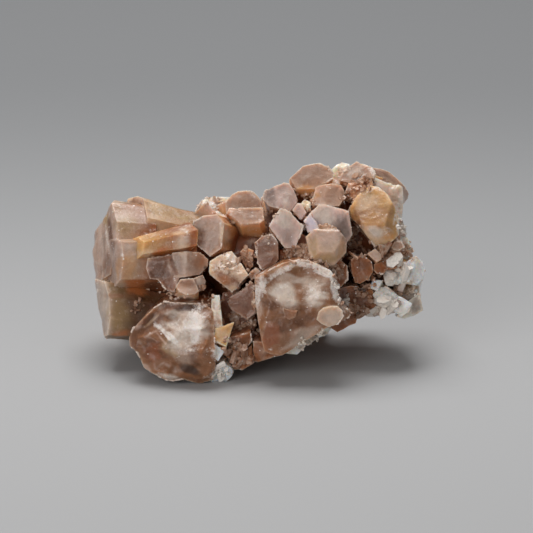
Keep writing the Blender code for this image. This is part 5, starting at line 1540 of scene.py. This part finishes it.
class ARAGONITE_OT_druses(bpy.types.Operator):
    """Grows druses of small crystals where the photographed specimen has them"""

    bl_idname = "aragonite.druses"
    bl_label = "Druses"

    def execute(self, context):
        pieces = [bpy.data.objects[name] for name in [*GROUPS, BACK]]
        points = np.concatenate([to_view(get_points(p.data)) for p in pieces])
        facings = np.concatenate([read(p.data.vertices, "normal", 3) @ VIEW_AXES.T for p in pieces])
        front = nearest_cells(points, FRONT_CELL) & (points[:, 2] > FRONT_OUT)
        points, facings = points[front], facings[front]
        rng = np.random.default_rng(DRUSE_SEED)
        chosen, sizes, colours, frost = [], [], [], []
        for across, up, reach, count, smallest, largest, look in DRUSES:
            far = np.hypot(points[:, 0] - across, points[:, 1] - up) / reach
            weight = smooth_step(1.0, 0.4, far + 0.3 * layered(points, 2.0, 7, 2))
            picked = rng.choice(len(points), count, p=weight / weight.sum())
            chosen.append(picked)
            sizes.append(smallest + (largest - smallest) * rng.random(count) ** 2)
            share = rng.random((count, 1))
            tone = LOOKS[look].end * share + LOOKS[look].side * (1.0 - share)
            colours.append(tone * rng.uniform(0.8, 1.15, (count, 1)))
            frost.append(LOOKS[look].frost * rng.uniform(0.2, 1.4, count))
        chosen, sizes = np.concatenate(chosen), np.concatenate(sizes)
        made, faces, each = druse_shapes(rng, points[chosen], facings[chosen], sizes)
        full = np.ones(len(made))
        root = np.tile(np.arange(each) < ROOT_POINTS, len(chosen))
        # The druses' roots take the crevice colour: painted shade at their bases.
        masks = dict(rim=full * 0.5, end=full, depth=full * 0.0, sunk=root * 0.6,
                     tint=np.repeat(np.concatenate(colours), each, axis=0),
                     frost=np.repeat(np.concatenate(frost), each))
        add_piece("druses", fill_mesh("druses", made, faces, masks), 0.0)
        return {"FINISHED"}


# The stage, in metres unless said
LIGHTS = {                      # soft square lights: place, width, power
    "overhead": ((-0.05, 0.25, 0.72), 0.5, 5.4),
    "front_fill": ((-0.48, -0.74, 0.34), 0.6, 3.3),
}
LIT_POINT = (0.0, 0.0, 0.02)
WORLD_STRENGTH = 0.20
FLOOR_SIZE = 3.0
AIM = (1.0, 1.9, 0.0)           # what the camera faces, in listed millimetres
SENSOR = 36.0                   # its sensor's width, mm
FARTHEST = 20.0


class ARAGONITE_OT_stage(bpy.types.Operator):
    """Sets up the floor, the studio light and the camera"""

    bl_idname = "aragonite.stage"
    bl_label = "Stage"

    def execute(self, context):
        settings = context.scene.aragonite_stage
        scene = context.scene
        add_floor()
        world = bpy.data.worlds.new("studio")
        scene.world = world
        world.use_nodes = True
        background = world.node_tree.nodes["Background"]
        background.inputs["Color"].default_value = (1.0, 1.0, 1.0, 1.0)
        background.inputs["Strength"].default_value = WORLD_STRENGTH
        for name, (place, width, power) in LIGHTS.items():
            add_area(name, place, LIT_POINT, width, power)
        out = np.array((0.0, 0.0, 1.0)) @ VIEW_AXES
        up = np.array((0.0, 1.0, 0.0)) @ VIEW_AXES
        aim = to_frame(np.array(AIM))
        data = bpy.data.cameras.new("camera")
        data.sensor_width = SENSOR
        data.lens = data.sensor_width * settings.camera_distance / settings.view_width
        data.clip_end = FARTHEST
        camera = bpy.data.objects.new("camera", data)
        scene.collection.objects.link(camera)
        turned = Matrix((Vector((1.0, 0.0, 0.0)), Vector(up), Vector(out))).transposed().to_4x4()
        turned.translation = Vector(aim + out * settings.camera_distance)
        camera.matrix_world = turned
        scene.camera = camera
        scene.view_settings.view_transform = "Standard"
        return {"FINISHED"}


def add_floor():
    """A level floor, far larger than the view."""
    corners = FLOOR_SIZE * np.array([(-1, -1, 0), (1, -1, 0), (1, 1, 0), (-1, 1, 0)])
    mesh = fill_mesh("floor", corners, (np.array([[0, 1, 2, 3]]),), {})
    mesh.materials.append(backdrop_material())
    floor = bpy.data.objects.new("floor", mesh)
    bpy.context.scene.collection.objects.link(floor)


def add_area(name, place, aim, width, power):
    """A square soft light that faces a point."""
    data = bpy.data.lights.new(name, "AREA")
    data.size = width
    data.energy = power
    light = bpy.data.objects.new(name, data)
    bpy.context.scene.collection.objects.link(light)
    light.location = place
    light.rotation_euler = (Vector(place) - Vector(aim)).to_track_quat("Z", "Y").to_euler()


class ARAGONITE_PT_panel(bpy.types.Panel):
    bl_label = "Aragonite"
    bl_idname = "ARAGONITE_PT_panel"
    bl_space_type = "VIEW_3D"
    bl_region_type = "UI"
    bl_category = "Aragonite"

    def draw(self, context):
        for operator in OPERATORS:
            self.layout.operator(operator.bl_idname)
        for group in GROUPS_OF_SETTINGS:
            settings = getattr(context.scene, group)
            for key in settings.bl_rna.properties.keys():
                if key not in ("rna_type", "name"):
                    self.layout.prop(settings, key)


OPERATORS = (ARAGONITE_OT_front, ARAGONITE_OT_back, ARAGONITE_OT_crevices,
             ARAGONITE_OT_druses, ARAGONITE_OT_stage)
GROUPS_OF_SETTINGS = {
    "aragonite_stone": StoneSettings,
    "aragonite_grains": GrainSettings,
    "aragonite_stage": StageSettings,
}


def register():
    for group, settings in GROUPS_OF_SETTINGS.items():
        bpy.utils.register_class(settings)
        setattr(bpy.types.Scene, group, bpy.props.PointerProperty(type=settings))
    for cls in OPERATORS + (ARAGONITE_PT_panel,):
        bpy.utils.register_class(cls)


def unregister():
    for cls in reversed(OPERATORS + (ARAGONITE_PT_panel,)):
        bpy.utils.unregister_class(cls)
    for group, settings in GROUPS_OF_SETTINGS.items():
        delattr(bpy.types.Scene, group)
        bpy.utils.unregister_class(settings)


def main():
    register()
    for step in (bpy.ops.aragonite.front, bpy.ops.aragonite.back,
                 bpy.ops.aragonite.crevices, bpy.ops.aragonite.druses,
                 bpy.ops.aragonite.stage):
        step()


if __name__ == "__main__":
    main()
